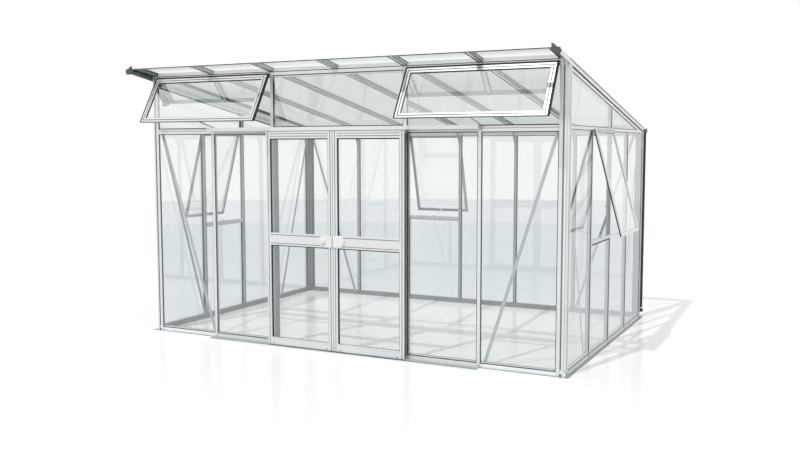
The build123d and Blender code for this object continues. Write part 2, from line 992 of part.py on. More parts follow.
export_step(rear_gutter.part, "parts/rear_gutter.step")

gutter_cap_points = [
    (0, gutter_top),
    (0, gutter_back_foot),
    (-gutter_back_step, gutter_bottom),
    (-gutter_front_step, gutter_bottom),
    (-gutter_width, gutter_front_foot),
    (-gutter_width, gutter_top + gutter_cap_rise),
    (gutter_lip - gutter_width, gutter_top + gutter_cap_rise),
]
with BuildPart() as gutter_end_caps:
    for start in (half_width + gutter_cap_thickness, -half_width):
        extrude(
            outline(end_plane("back", start), gutter_cap_points),
            amount=gutter_cap_thickness,
        )
gutter_end_caps.part.label = "gutter_end_caps"
export_step(gutter_end_caps.part, "parts/gutter_end_caps.step")

with BuildPart() as downpipe:
    with BuildLine() as pipe_path:
        Line((pipe_x, pipe_y, gutter_bottom), (pipe_x, pipe_y, pipe_foot))
        bend = TangentArc(
            (pipe_x, pipe_y, pipe_foot),
            (pipe_x, pipe_y + pipe_bend, pipe_foot - pipe_bend),
            tangent=(0, 0, -1),
        )
        Line(bend @ 1, (pipe_x, pipe_y + pipe_bend + pipe_mouth, pipe_foot - pipe_bend))
    with BuildSketch(Plane((pipe_x, pipe_y, gutter_bottom), z_dir=(0, 0, -1))):
        Circle(pipe_radius)
        Circle(pipe_radius - pipe_wall, mode=Mode.SUBTRACT)
    sweep()
downpipe.part.label = "downpipe"
export_step(downpipe.part, "parts/downpipe.step")


# Fixed panes of the walls
def pane_outline(wall, corners):
    along = walls[wall][1]
    turn = along.X + along.Y
    return outline(face_plane(wall, glass_back), [(turn * place, z) for place, z in corners])


def field_pane(wall, low, high, foot, head):
    return pane_outline(
        wall,
        [
            (low + pane_inset, foot),
            (high - pane_inset, foot),
            (high - pane_inset, head),
            (low + pane_inset, head),
        ],
    )


with BuildPart() as front_glass:
    for low, high in zip(front_lines, front_lines[1:]):
        if abs(low + high) > 2 * field_pitch:
            extrude(
                field_pane("front", low, high, base_shelf, transom_bottom + transom_lip),
                amount=glass_thickness,
            )
    extrude(
        field_pane("front", *door_lines, transom_top - transom_lip, head_bottom + head_lip),
        amount=glass_thickness,
    )
front_glass.part.label = "front_glass"
export_step(front_glass.part, "parts/front_glass.step")

gable_foot = side_rail_top - side_rail_lip


def pane_head(wall, low):
    # A pane under a window ends in the rail below it, the others in the rail at the eaves
    if low == window_fields[wall][0]:
        return sill_top(wall) - sill_height + sill_lip
    if wall == "back":
        return eaves_bottom + eaves_lip
    return side_rail_bottom + side_rail_lip


def rake_line(place):
    return seat_height(place) - rake_groove


def gable_panes(wall):
    front_low = side_lines[0] + pane_inset
    front_high = side_lines[2] - pane_inset
    back_low = side_lines[2] + pane_inset
    tip = front_y + (front_seat_height - rake_groove - gable_foot) / slope
    front_pane = [
        (front_low, gable_foot),
        (front_high, gable_foot),
        (front_high, rake_line(front_high)),
        (front_low, rake_line(front_low)),
    ]
    back_pane = [(back_low, gable_foot), (tip, gable_foot), (back_low, rake_line(back_low))]
    return [pane_outline(wall, front_pane), pane_outline(wall, back_pane)]


with BuildPart() as left_glass:
    for low, high in zip(side_lines, side_lines[1:]):
        extrude(
            field_pane("left", low, high, base_shelf, pane_head("left", low)),
            amount=glass_thickness,
        )
    for pane in gable_panes("left"):
        extrude(pane, amount=glass_thickness)
left_glass.part.label = "left_glass"
export_step(left_glass.part, "parts/left_glass.step")

with BuildPart() as right_glass:
    for low, high in zip(side_lines, side_lines[1:]):
        extrude(
            field_pane("right", low, high, base_shelf, pane_head("right", low)),
            amount=glass_thickness,
        )
    for pane in gable_panes("right"):
        extrude(pane, amount=glass_thickness)
right_glass.part.label = "right_glass"
export_step(right_glass.part, "parts/right_glass.step")

with BuildPart() as back_glass:
    for low, high in zip(front_lines, front_lines[1:]):
        extrude(
            field_pane("back", low, high, base_shelf, pane_head("back", low)),
            amount=glass_thickness,
        )
back_glass.part.label = "back_glass"
export_step(back_glass.part, "parts/back_glass.step")


# Sashes that stand open on their top hinges: a rectangle from head to foot below the hinge
def sash_panel(plane, half, head, foot, border, set_out):
    with BuildSketch(plane.offset(set_out)) as panel:
        with Locations((0, -(head + foot) / 2)):
            Rectangle(2 * (half - border), foot - head - 2 * border)
    return panel.sketch


vent_head = head_bottom + vent_hinge_rise
vent_places = ((front_lines[0] + door_lines[0]) / 2, (front_lines[-1] + door_lines[1]) / 2)
vent_width = door_lines[0] - front_lines[0] - 2 * vent_side_gap
vent_length = vent_head - transom_top + vent_lap
window_width = field_pitch - 2 * window_side_gap
vent_spots = [sash_plane("front", place, vent_head, vent_angle) for place in vent_places]
window_spots = [
    sash_plane(wall, sum(window_fields[wall]) / 2, window_heads[wall], window_angle)
    for wall in window_fields
]

# Vents: a thin flange laps the wall at the head and the sides, and a grooved frame stands on it
vent_half = vent_width / 2
face_half = vent_half - vent_flange_lap
vent_face = (face_half, vent_flange_lap, vent_length)
groove_floor = sash_thickness - vent_groove_depth
vent_rebate = vent_frame - sash_rebate
with BuildPart() as front_vent_sashes:
    for plane in vent_spots:
        extrude(sash_panel(plane, vent_half, 0, vent_length, 0, 0), amount=vent_flange)
        extrude(sash_panel(plane, *vent_face, 0, 0), amount=sash_thickness)
        extrude(
            sash_panel(plane, *vent_face, vent_groove_inset, groove_floor),
            amount=vent_groove_depth,
            mode=Mode.SUBTRACT,
        )
        groove_end = vent_groove_inset + vent_groove_width
        extrude(
            sash_panel(plane, *vent_face, groove_end, groove_floor),
            amount=vent_groove_depth,
        )
        extrude(
            sash_panel(plane, *vent_face, vent_frame, 0),
            amount=sash_thickness,
            mode=Mode.SUBTRACT,
        )
        extrude(
            sash_panel(plane, *vent_face, vent_rebate, sash_pane_set),
            amount=glass_thickness,
            mode=Mode.SUBTRACT,
        )
front_vent_sashes.part.label = "front_vent_sashes"
export_step(front_vent_sashes.part, "parts/front_vent_sashes.step")

with BuildPart() as front_vent_glass:
    for plane in vent_spots:
        extrude(
            sash_panel(plane, *vent_face, vent_rebate + sash_pane_gap, sash_pane_set),
            amount=glass_thickness,
        )
front_vent_glass.part.label = "front_vent_glass"
export_step(front_vent_glass.part, "parts/front_vent_glass.step")

window_face = (window_width / 2, 0, window_length)
window_rebate = sash_frame - sash_rebate
with BuildPart() as window_sashes:
    for plane in window_spots:
        extrude(sash_panel(plane, *window_face, 0, 0), amount=sash_thickness)
        extrude(
            sash_panel(plane, *window_face, sash_frame, 0),
            amount=sash_thickness,
            mode=Mode.SUBTRACT,
        )
        extrude(
            sash_panel(plane, *window_face, window_rebate, sash_pane_set),
            amount=glass_thickness,
            mode=Mode.SUBTRACT,
        )
window_sashes.part.label = "window_sashes"
export_step(window_sashes.part, "parts/window_sashes.step")

with BuildPart() as window_glass:
    for plane in window_spots:
        extrude(
            sash_panel(plane, *window_face, window_rebate + sash_pane_gap, sash_pane_set),
            amount=glass_thickness,
        )
window_glass.part.label = "window_glass"
export_step(window_glass.part, "parts/window_glass.step")


# Stays from the foot of each sash to the rail below it
def stay_section(wall, place, hinge, length, angle, rail_top):
    lean = math.radians(angle)
    down = []
    for reach in (length - stay_end, length - stay_end - stay_thickness):
        down.append((-reach * math.sin(lean), hinge - reach * math.cos(lean)))
    foot = [(stay_foot + stay_thickness, rail_top), (stay_foot, rail_top)]
    start = run_start(wall, place - stay_width / 2, place + stay_width / 2)
    return outline(end_plane(wall, start), down + foot)


with BuildPart() as sash_stays:
    for place in vent_places:
        extrude(
            stay_section("front", place, vent_head, vent_length, vent_angle, transom_top),
            amount=stay_width,
        )
    for wall, (low, high) in window_fields.items():
        place = (low + high) / 2
        head = window_heads[wall]
        extrude(
            stay_section(wall, place, head, window_length, window_angle, sill_top(wall)),
            amount=stay_width,
        )
sash_stays.part.label = "sash_stays"
export_step(sash_stays.part, "parts/sash_stays.step")


# Wind braces, flat bars across the inside of the end fields
brace_bottom_inset = corner_offset + field_pitch - brace_foot_gap
brace_top_height = transom_top - brace_top_drop


def brace_outline(wall, top, bottom):
    along = walls[wall][1]
    turn = along.X + along.Y
    corners = [
        (top - brace_half_width, brace_top_height),
        (top + brace_half_width, brace_top_height),
        (bottom + brace_half_width, brace_bottom_height),
        (bottom - brace_half_width, brace_bottom_height),
    ]
    plane = face_plane(wall, bar_depth + brace_thickness)
    return outline(plane, [(turn * place, z) for place, z in corners])


with BuildPart() as wind_braces:
    for wall, low, high in (
        ("front", -half_width, half_width),
        ("back", -half_width, half_width),
        ("left", front_y, back_y),
        ("right", front_y, back_y),
    ):
        for end, turn in ((low, 1), (high, -1)):
            top = end + turn * brace_top_inset
            bottom = end + turn * brace_bottom_inset
            extrude(brace_outline(wall, top, bottom), amount=brace_thickness)
wind_braces.part.label = "wind_braces"
export_step(wind_braces.part, "parts/wind_braces.step")

# Rails of the sliding doors
leaf_middle = -leaf_front + leaf_thickness / 2
leaf_width = field_pitch + leaf_lap - leaf_gap
leaf_bottom = guide_height + leaf_clearance
leaf_top = transom_top - leaf_top_drop
door_rail_half_length = 2 * field_pitch + door_rail_overrun
head_rail_top = transom_top - head_rail_drop
head_rail_foot = head_rail_top - head_rail_height
head_rail_lip = leaf_top + head_rail_lip_gap
head_rail_reach = leaf_front + head_rail_overhang
head_rail_guide_far = -leaf_middle - leaf_fin_width / 2 - fin_clearance
head_rail_guide_near = head_rail_guide_far - head_rail_guide_wall
head_rail_guide_foot = leaf_top + head_rail_guide_gap
guide_reach = leaf_front + guide_overhang
head_rail_points = [
    (0, head_rail_foot),
    (0, head_rail_top),
    (-head_rail_reach, head_rail_top),
    (-head_rail_reach, head_rail_lip),
    (head_rail_wall - head_rail_reach, head_rail_lip),
    (head_rail_wall - head_rail_reach, head_rail_top - head_rail_wall),
    (-head_rail_guide_far, head_rail_top - head_rail_wall),
    (-head_rail_guide_far, head_rail_guide_foot),
    (-head_rail_guide_near, head_rail_guide_foot),
    (-head_rail_guide_near, head_rail_top - head_rail_wall),
    (-head_rail_wall, head_rail_top - head_rail_wall),
    (-head_rail_wall, head_rail_foot),
]
with BuildPart() as door_head_rail:
    extrude(
        outline(end_plane("front", -door_rail_half_length), head_rail_points),
        amount=2 * door_rail_half_length,
    )
door_head_rail.part.label = "door_head_rail"
export_step(door_head_rail.part, "parts/door_head_rail.step")

guide_points = [
    (-foot_reach, 0),
    (-foot_reach, guide_height),
    (leaf_middle + bead_width / 2, guide_height),
    (leaf_middle + bead_width / 2, guide_height + bead_height),
    (leaf_middle - bead_width / 2, guide_height + bead_height),
    (leaf_middle - bead_width / 2, guide_height),
    (guide_nose_run - guide_reach, guide_height),
    (-guide_reach, guide_nose),
    (-guide_reach, 0),
]
with BuildPart() as door_guide_rail:
    extrude(
        outline(end_plane("front", -door_rail_half_length), guide_points),
        amount=2 * door_rail_half_length,
    )
door_guide_rail.part.label = "door_guide_rail"
export_step(door_guide_rail.part, "parts/door_guide_rail.step")


# Door leaves: stiles and rails with grooved faces, a roller channel below and a guide fin above
top_rail_foot = leaf_top - top_rail_height
mid_rail_top = mid_rail_foot + mid_rail_height
bottom_rail_top = leaf_bottom + bottom_rail_height


def leaf_span(side):
    near = side * leaf_gap
    far = side * (leaf_gap + leaf_width)
    return min(near, far), max(near, far)


def leaf_face(side):
    low, high = leaf_span(side)
    with BuildSketch(face_plane("front", leaf_thickness - leaf_front)) as face:
        with Locations(((low + high) / 2, (leaf_bottom + leaf_top) / 2)):
            Rectangle(high - low, leaf_top - leaf_bottom)
        for foot, head in ((bottom_rail_top, mid_rail_foot), (mid_rail_top, top_rail_foot)):
            with Locations(((low + high) / 2, (foot + head) / 2)):
                Rectangle(high - low - 2 * stile_width, head - foot, mode=Mode.SUBTRACT)
    return face.sketch


def leaf_panes(side, overlap):
    low, high = leaf_span(side)
    with BuildSketch(face_plane("front", leaf_middle + glass_thickness / 2)) as panes:
        for foot, head in ((bottom_rail_top, mid_rail_foot), (mid_rail_top, top_rail_foot)):
            with Locations(((low + high) / 2, (foot + head) / 2)):
                Rectangle(high - low - 2 * stile_width + 2 * overlap, head - foot + 2 * overlap)
    return panes.sketch


def leaf_lines(side):
    # Grooves along the stiles and rails of the front face
    low, high = leaf_span(side)
    with BuildSketch(face_plane("front", stile_line_depth - leaf_front)) as lines:
        for place in (low + stile_line_inset, high - stile_line_inset):
            with Locations((place, (leaf_bottom + leaf_top) / 2)):
                Rectangle(stile_line_width, leaf_top - leaf_bottom)
        for height in (
            top_rail_foot + rail_line_inset,
            mid_rail_top - rail_line_inset,
            mid_rail_foot + rail_line_inset,
            bottom_rail_top - rail_line_inset,
        ):
            with Locations(((low + high) / 2, height)):
                Rectangle(high - low - 2 * stile_width, stile_line_width)
    return lines.sketch


def leaf_channel(side):
    low, high = leaf_span(side)
    with BuildSketch(Plane((0, front_y, leaf_bottom))) as channel:
        with Locations(((low + high) / 2, leaf_middle)):
            Rectangle(high - low, leaf_thickness - 2 * leaf_wall)
    return channel.sketch


def leaf_fin(side):
    low, high = leaf_span(side)
    with BuildSketch(Plane((0, front_y, leaf_top))) as fin:
        with Locations(((low + high) / 2, leaf_middle)):
            Rectangle(high - low, leaf_fin_width)
    return fin.sketch


with BuildPart() as left_door_frame:
    extrude(leaf_face(-1), amount=leaf_thickness)
    extrude(leaf_panes(-1, leaf_groove), amount=glass_thickness, mode=Mode.SUBTRACT)
    extrude(leaf_lines(-1), amount=stile_line_depth, mode=Mode.SUBTRACT)
    extrude(leaf_channel(-1), amount=leaf_channel_depth, mode=Mode.SUBTRACT)
    extrude(leaf_fin(-1), amount=leaf_fin_height)
left_door_frame.part.label = "left_door_frame"
export_step(left_door_frame.part, "parts/left_door_frame.step")

with BuildPart() as right_door_frame:
    extrude(leaf_face(1), amount=leaf_thickness)
    extrude(leaf_panes(1, leaf_groove), amount=glass_thickness, mode=Mode.SUBTRACT)
    extrude(leaf_lines(1), amount=stile_line_depth, mode=Mode.SUBTRACT)
    extrude(leaf_channel(1), amount=leaf_channel_depth, mode=Mode.SUBTRACT)
    extrude(leaf_fin(1), amount=leaf_fin_height)
right_door_frame.part.label = "right_door_frame"
export_step(right_door_frame.part, "parts/right_door_frame.step")

with BuildPart() as left_door_glass:
    extrude(leaf_panes(-1, leaf_groove - sash_pane_gap), amount=glass_thickness)
left_door_glass.part.label = "left_door_glass"
export_step(left_door_glass.part, "parts/left_door_glass.step")

with BuildPart() as right_door_glass:
    extrude(leaf_panes(1, leaf_groove - sash_pane_gap), amount=glass_thickness)
right_door_glass.part.label = "right_door_glass"
export_step(right_door_glass.part, "parts/right_door_glass.step")

# Grooved rollers that carry the leaves on the bead of the guide rail
axle_height = guide_height + bead_height + roller_gap + roller_tread
axle_half = leaf_thickness / 2 - leaf_wall
roller_half_points = [
    (0, axle_half),
    (axle_radius, axle_half),
    (axle_radius, roller_half),
    (roller_flange, roller_half),
    (roller_flange, roller_tread_half),
    (roller_tread, roller_tread_half),
]
roller_points = roller_half_points + [(x, -y) for x, y in reversed(roller_half_points)]


def roller_spots(side):
    low, high = leaf_span(side)
    return (low + roller_inset, high - roller_inset)


with BuildPart() as left_door_rollers:
    for place in roller_spots(-1):
        spot = (place, front_y + leaf_middle, axle_height)
        wheel = outline(Plane(spot, x_dir=(1, 0, 0), z_dir=(0, 0, 1)), roller_points)
        revolve(wheel, axis=Axis(spot, (0, 1, 0)))
left_door_rollers.part.label = "left_door_rollers"
export_step(left_door_rollers.part, "parts/left_door_rollers.step")

with BuildPart() as right_door_rollers:
    for place in roller_spots(1):
        spot = (place, front_y + leaf_middle, axle_height)
        wheel = outline(Plane(spot, x_dir=(1, 0, 0), z_dir=(0, 0, 1)), roller_points)
        revolve(wheel, axis=Axis(spot, (0, 1, 0)))
right_door_rollers.part.label = "right_door_rollers"
export_step(right_door_rollers.part, "parts/right_door_rollers.step")


# Lock plate with its knob on the left leaf, pull plate on the right leaf
plate_level = mid_rail_foot + plate_rise


def plate_face(side, reach):
    round_centre = reach - plate_height / 2
    with BuildSketch(face_plane("front", -leaf_front)) as face:
        with Locations((side * (plate_gap + round_centre) / 2, plate_level)):
            Rectangle(round_centre - plate_gap, plate_height)
        with Locations((side * round_centre, plate_level)):
            Circle(plate_height / 2)
    return face.sketch


with BuildPart() as left_door_lock:
    extrude(plate_face(-1, lock_reach), amount=plate_thickness)
    with BuildSketch(face_plane("front", -leaf_front - plate_thickness)):
        with Locations((knob_inset - lock_reach, plate_level)):
            Circle(knob_radius)
    extrude(amount=knob_height)
    chamfer(left_door_lock.edges().group_by(Axis.Y)[0], plate_chamfer)
left_door_lock.part.label = "left_door_lock"
export_step(left_door_lock.part, "parts/left_door_lock.step")

with BuildPart() as right_door_pull:
    extrude(plate_face(1, pull_reach), amount=plate_thickness)
    chamfer(right_door_pull.edges().group_by(Axis.Y)[0], plate_chamfer)
right_door_pull.part.label = "right_door_pull"
export_step(right_door_pull.part, "parts/right_door_pull.step")
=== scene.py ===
# %% [markdown]
# # A glass greenhouse
# The construction comes from the CAD frame: posts, bars, rafters, panes, sashes and two sliding door leaves.
# Blender adds what a maker would call the finish: the surface of each material, the rubber seals, the screws
# and the small fittings. We load the frame first, and read the boxes of its nodes. The finish must stay
# inside it.

# %% Load the frame
import math

import bmesh
import bpy
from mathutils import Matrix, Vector


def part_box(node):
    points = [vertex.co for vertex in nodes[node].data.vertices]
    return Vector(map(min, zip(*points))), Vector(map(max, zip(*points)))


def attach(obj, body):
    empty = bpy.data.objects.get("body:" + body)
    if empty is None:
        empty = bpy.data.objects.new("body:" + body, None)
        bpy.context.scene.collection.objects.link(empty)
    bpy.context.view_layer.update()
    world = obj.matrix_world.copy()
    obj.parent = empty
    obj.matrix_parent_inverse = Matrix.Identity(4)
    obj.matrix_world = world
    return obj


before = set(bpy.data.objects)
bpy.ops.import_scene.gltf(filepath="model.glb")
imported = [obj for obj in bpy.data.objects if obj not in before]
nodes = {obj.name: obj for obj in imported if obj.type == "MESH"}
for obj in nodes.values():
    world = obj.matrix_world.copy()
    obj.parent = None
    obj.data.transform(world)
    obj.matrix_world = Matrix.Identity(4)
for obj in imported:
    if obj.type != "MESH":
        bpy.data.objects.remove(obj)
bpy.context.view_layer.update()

# %% [markdown]
# ## Lines of the house
# A greenhouse is set out from a few lines: the outer faces of its walls and the spacing of its bars. We read
# them from the boxes of the CAD nodes instead of typing them again, so every fitting follows the frame. The
# front has six equal fields from bar to bar, and each side has four of the same width.

# %% Read the setting-out lines
MM = 0.001
FRONT_FIELDS, SIDE_FIELDS = 6, 4
BAR_FLANGE = 30 * MM

front_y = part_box("front_glazing_bars")[0].y
back_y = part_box("back_glazing_bars")[1].y
half_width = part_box("front_corner_posts")[1].x
middle_y = (front_y + back_y) / 2
half_depth = (back_y - front_y) / 2
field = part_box("door_posts")[1].x - BAR_FLANGE / 2
half_fields = FRONT_FIELDS // 2
corner_line = half_width - half_fields * field
front_lines = [field * step for step in range(-half_fields, half_fields + 1)]
side_lines = [front_y + corner_line + field * step for step in range(SIDE_FIELDS + 1)]
print("field:", round(field, 4), "front:", round(front_y, 4), "back:", round(back_y, 4))

# %% [markdown]
# ## Camera
# The photograph looks at the front from the right, at about eye level, with upright lines that hardly lean.
# The camera was fitted to the heads and feet of the bars. That gives a 40 mm lens about eight and a half
# metres from the middle of the house, tipped five degrees down, with no lens shift.

# %% Place the camera
EYE = Vector((3.701, -7.4875, 1.679))
EYE_TILT, EYE_ROLL, EYE_TURN = 84.952, 0.044, 26.678
SENSOR_WIDTH, LENS_LENGTH = 36, 40.14     # millimetres

lens = bpy.data.cameras.new("eye")
lens.sensor_width = SENSOR_WIDTH
lens.lens = LENS_LENGTH
camera = bpy.data.objects.new("eye", lens)
camera.location = EYE
camera.rotation_euler = [math.radians(angle) for angle in (EYE_TILT, EYE_ROLL, EYE_TURN)]
bpy.context.scene.collection.objects.link(camera)
bpy.context.scene.camera = camera
print("camera distance:", round(EYE.length, 2))

# %% [markdown]
# ## Colours and nodes
# Colours are written as sRGB hex values, the way a paint chart gives them, and one function turns them to
# the linear numbers that shaders use. A second small function adds a node, sets it and links it, so a
# material reads as a list of steps. A third starts a material with an empty tree.

# %% Colour and node helpers
def linear(code):
    # The sRGB curve, for red, green and blue, with full opacity after them
    parts = [int(code[place:place + 2], 16) / 255 for place in (1, 3, 5)]
    curve = [part / 12.92 if part <= 0.04045 else ((part + 0.055) / 1.055) ** 2.4 for part in parts]
    return curve + [1.0]


def add_node(tree, kind, inputs=None, **settings):
    made = tree.nodes.new("ShaderNode" + kind)
    for name, value in settings.items():
        setattr(made, name, value)
    for name, value in (inputs or {}).items():
        if isinstance(value, bpy.types.NodeSocket):
            tree.links.new(value, made.inputs[name])
        else:
            made.inputs[name].default_value = value
    return made


def empty_material(name):
    material = bpy.data.materials.new(name)
    material.use_nodes = True
    material.node_tree.nodes.clear()
    return material, material.node_tree


WHITE = linear("#FFFFFF")
print("white is", WHITE)

# %% [markdown]
# ## Studio dome
# The picture is a bright studio picture on a white sweep. Lamps all round could light it, but a dome of
# light is simpler, and the glass and the metal have something to mirror on every side. Low down the dome
# turns pale grey and then grey-blue, as the foot of a sweep does, and these tones show through the panes.

# %% Shade the dome
LOW_TONE, MID_TONE, HIGH_TONE = "#E1E6E8", "#EAEDEF", "#F9FAFA"
DOME_STOPS = ((-0.0852, LOW_TONE), (-0.0842, MID_TONE), (-0.0595, MID_TONE), (-0.0585, HIGH_TONE))
DOME_RANGE = 0.1     # the ramp reaches this far below and above the horizon, as the sine of the angle

world = bpy.data.worlds.new("studio")
bpy.context.scene.world = world
world.use_nodes = True
tree = world.node_tree
tree.nodes.clear()
direction = add_node(tree, "TexCoord").outputs["Generated"]
height = add_node(tree, "SeparateXYZ", {"Vector": direction}).outputs["Z"]
span = {"Value": height, "From Min": -DOME_RANGE, "From Max": DOME_RANGE}
ramp = add_node(tree, "ValToRGB", {"Fac": add_node(tree, "MapRange", span).outputs["Result"]})
while len(ramp.color_ramp.elements) < len(DOME_STOPS):
    ramp.color_ramp.elements.new(0.5)
for stop, (level, code) in zip(ramp.color_ramp.elements, DOME_STOPS):
    stop.position = 0.5 + level / (2 * DOME_RANGE)
    stop.color = linear(code)
print("dome stops:", len(DOME_STOPS))

# %% [markdown]
# ## Soft box and sweep
# A large soft box hangs over the front, a little to the right, and gives the metal and the vents their
# gleam. It is a bright patch of the dome, because a patch shows in every mirror just as it lights. Seen
# straight, past the house, the backdrop is pure white, while rays through a pane or off a mirror meet the
# dome's tones.

# %% Add the soft box and the sweep
SOFTBOX_WAY = Vector((0.30, -0.55, 0.78))
SOFTBOX_EDGE, SOFTBOX_CORE = 0.85, 0.95     # cosines of the angles where the patch starts and is full
SOFTBOX_POWER = 2.4
FILL = 0.86        # dull surfaces get a little less of the dome, which keeps the shadows readable
ANY_PANE = 0.5     # a ray that has passed a pane counts one or more

toward = {0: direction, 1: SOFTBOX_WAY.normalized()}
facing = add_node(tree, "VectorMath", toward, operation="DOT_PRODUCT").outputs["Value"]
span = {"Value": facing, "From Min": SOFTBOX_EDGE, "From Max": SOFTBOX_CORE, "To Max": SOFTBOX_POWER}
panel = add_node(tree, "MapRange", span, interpolation_type="SMOOTHSTEP").outputs["Result"]
glow = add_node(tree, "Math", {0: panel, 1: 1.0}, operation="ADD").outputs[0]
path = add_node(tree, "LightPath").outputs
unglazed = {0: path["Transparent Depth"], 1: ANY_PANE}
straight = add_node(tree, "Math", unglazed, operation="LESS_THAN").outputs[0]
seen = {0: straight, 1: path["Is Camera Ray"]}
backdrop = add_node(tree, "Math", seen, operation="MULTIPLY").outputs[0]
fill = {"Value": path["Is Diffuse Ray"], "To Min": 1.0, "To Max": FILL}
fill = add_node(tree, "MapRange", fill).outputs["Result"]
power = add_node(tree, "Math", {0: glow, 1: fill}, operation="MULTIPLY").outputs[0]
dome = add_node(tree, "Background", {"Color": ramp.outputs["Color"], "Strength": power}).outputs[0]
sweep = add_node(tree, "Background", {"Color": WHITE, "Strength": 1.0}).outputs[0]
studio = add_node(tree, "MixShader", {0: backdrop, 1: dome, 2: sweep}).outputs[0]
add_node(tree, "OutputWorld", {"Surface": studio})
bpy.context.scene.view_settings.view_transform = "Standard"
print("soft box power:", SOFTBOX_POWER)

# %% [markdown]
# ## Key light
# One harder light, high in front and a little to the left, draws the grid of shadows that lies on the floor.
# A sun lamp suits it, because its rays are parallel and the shadows of equal bars stay equal.

# %% Hang the key light
KEY_WAY = Vector((0.146, 0.53, -0.836))
KEY_ENERGY = 1.4
KEY_SPREAD = math.radians(1.0)     # softens the edges of the shadows

sun = bpy.data.lights.new("key", "SUN")
sun.energy = KEY_ENERGY
sun.angle = KEY_SPREAD
key = bpy.data.objects.new("key", sun)
key.rotation_euler = KEY_WAY.to_track_quat("-Z", "Y").to_euler()
bpy.context.scene.collection.objects.link(key)
print("key light falls along", [round(part, 2) for part in KEY_WAY])

# %% [markdown]
# ## Floor
# A lacquered white studio floor takes the shadows and mirrors the feet of the posts faintly. Round the house
# the sweep rises, so through the panes and in their mirror one looks past the floor into the dome. A curved
# sweep could be modelled, but it would catch shadows, so the floor stays one flat face that turns clear for
# rays of that kind outside the plan of the house.

# %% White lacquer
FLOOR_TONE = "#DCDCDC"
FLOOR_MOTTLE = 600 * MM            # a rolled coat varies over about this length
FLOOR_ROUGHNESS = (0.14, 0.22)
LACQUER_IOR = 1.2                  # lower than that of real lacquer, which keeps the floor's mirror faint

# Rolled white lacquer: pale and even to the eye, with a soft, faint mirror under the posts
white_lacquer, tree = empty_material("white_lacquered_floor")
place = add_node(tree, "TexCoord").outputs["Object"]
grain = {"Vector": place, "Scale": 1 / FLOOR_MOTTLE, "Detail": 3.0}
mottle = add_node(tree, "TexNoise", grain).outputs["Fac"]
spread = {"Value": mottle, "To Min": FLOOR_ROUGHNESS[0], "To Max": FLOOR_ROUGHNESS[1]}
paint = {
    "Base Color": linear(FLOOR_TONE),
    "Roughness": add_node(tree, "MapRange", spread).outputs["Result"],
    "IOR": LACQUER_IOR,
}
lacquer = add_node(tree, "BsdfPrincipled", paint).outputs[0]
print("lacquer made:", white_lacquer.name)

# %% [markdown]
# ## The sweep behind the glass
# The light path of a ray tells whether it has passed a pane or left a mirror. For such a ray the floor turns
# clear just outside the walls. The floor inside the house stays, and so does all of it for a straight look.

# %% Let the sweep rise
SWEEP_START = 1.012     # as a share of the half width and half depth of the house

offset = add_node(tree, "VectorMath", {0: place, 1: (0, middle_y, 0)}, operation="SUBTRACT").outputs[0]
plan = (half_width, half_depth, 1)
shares = add_node(tree, "VectorMath", {0: offset, 1: plan}, operation="DIVIDE").outputs[0]
shares = add_node(tree, "VectorMath", {0: shares}, operation="ABSOLUTE").outputs[0]
sides = add_node(tree, "SeparateXYZ", {0: shares}).outputs
widest = add_node(tree, "Math", {0: sides["X"], 1: sides["Y"]}, operation="MAXIMUM").outputs[0]
beyond = add_node(tree, "Math", {0: widest, 1: SWEEP_START}, operation="GREATER_THAN").outputs[0]
path = add_node(tree, "LightPath").outputs
panes = {0: path["Transparent Depth"], 1: path["Is Glossy Ray"]}
panes = add_node(tree, "Math", panes, operation="ADD").outputs[0]
glazed = add_node(tree, "Math", {0: panes, 1: ANY_PANE}, operation="GREATER_THAN").outputs[0]
risen = add_node(tree, "Math", {0: beyond, 1: glazed}, operation="MULTIPLY").outputs[0]
gone = add_node(tree, "BsdfTransparent").outputs[0]
laid = add_node(tree, "MixShader", {0: risen, 1: lacquer, 2: gone}).outputs[0]
add_node(tree, "OutputMaterial", {"Surface": laid})
print("sweep starts", round((SWEEP_START - 1) * half_width / MM), "mm beside the walls")

# %% [markdown]
# ## The floor itself
# One square-cornered face, wide enough for the shadows and for every view, is all the mesh that a flat floor
# needs. It belongs to the stage, because the greenhouse is only shown on it.

# %% Lay the floor
FLOOR_REACH, FLOOR_FRONT, FLOOR_BACK = 12, -5.0, 4.0     # metres

mesh = bpy.data.meshes.new("floor")
rim = [(-FLOOR_REACH, FLOOR_FRONT), (FLOOR_REACH, FLOOR_FRONT)]
rim += [(FLOOR_REACH, FLOOR_BACK), (-FLOOR_REACH, FLOOR_BACK)]
mesh.from_pydata([(x, y, 0) for x, y in rim], [], [(0, 1, 2, 3)])
mesh.materials.append(white_lacquer)
floor = bpy.data.objects.new("floor", mesh)
bpy.context.scene.collection.objects.link(floor)
print("floor laid:", 2 * FLOOR_REACH, "by", FLOOR_BACK - FLOOR_FRONT, "m")

# %% [markdown]
# ## Aluminium: lit and shaded faces
# The profiles are extruded aluminium. The faces that look out of the house mirror the studio softly and
# are coloured nearly white, as lit faces. The inner faces and the undersides are coloured a duller grey,
# which is painted shade and not a second finish. Faces could be picked by hand, but the choice would be lost
# when the frame changes. So the material itself finds its lit faces, from the place of a face and the way
# that it looks.

# %% Find the lit faces
HALF_HEIGHT = 900 * MM               # half the height of the walls
OUTER_FROM, OUTER_FULL = 0.72, 0.8   # from this share on, a face looks out of the house
PROUD = 1.003                        # beyond this share, a face stands in front of the wall lines
TURNED_AWAY = -0.5                   # below this, a face is an underside or looks toward the house
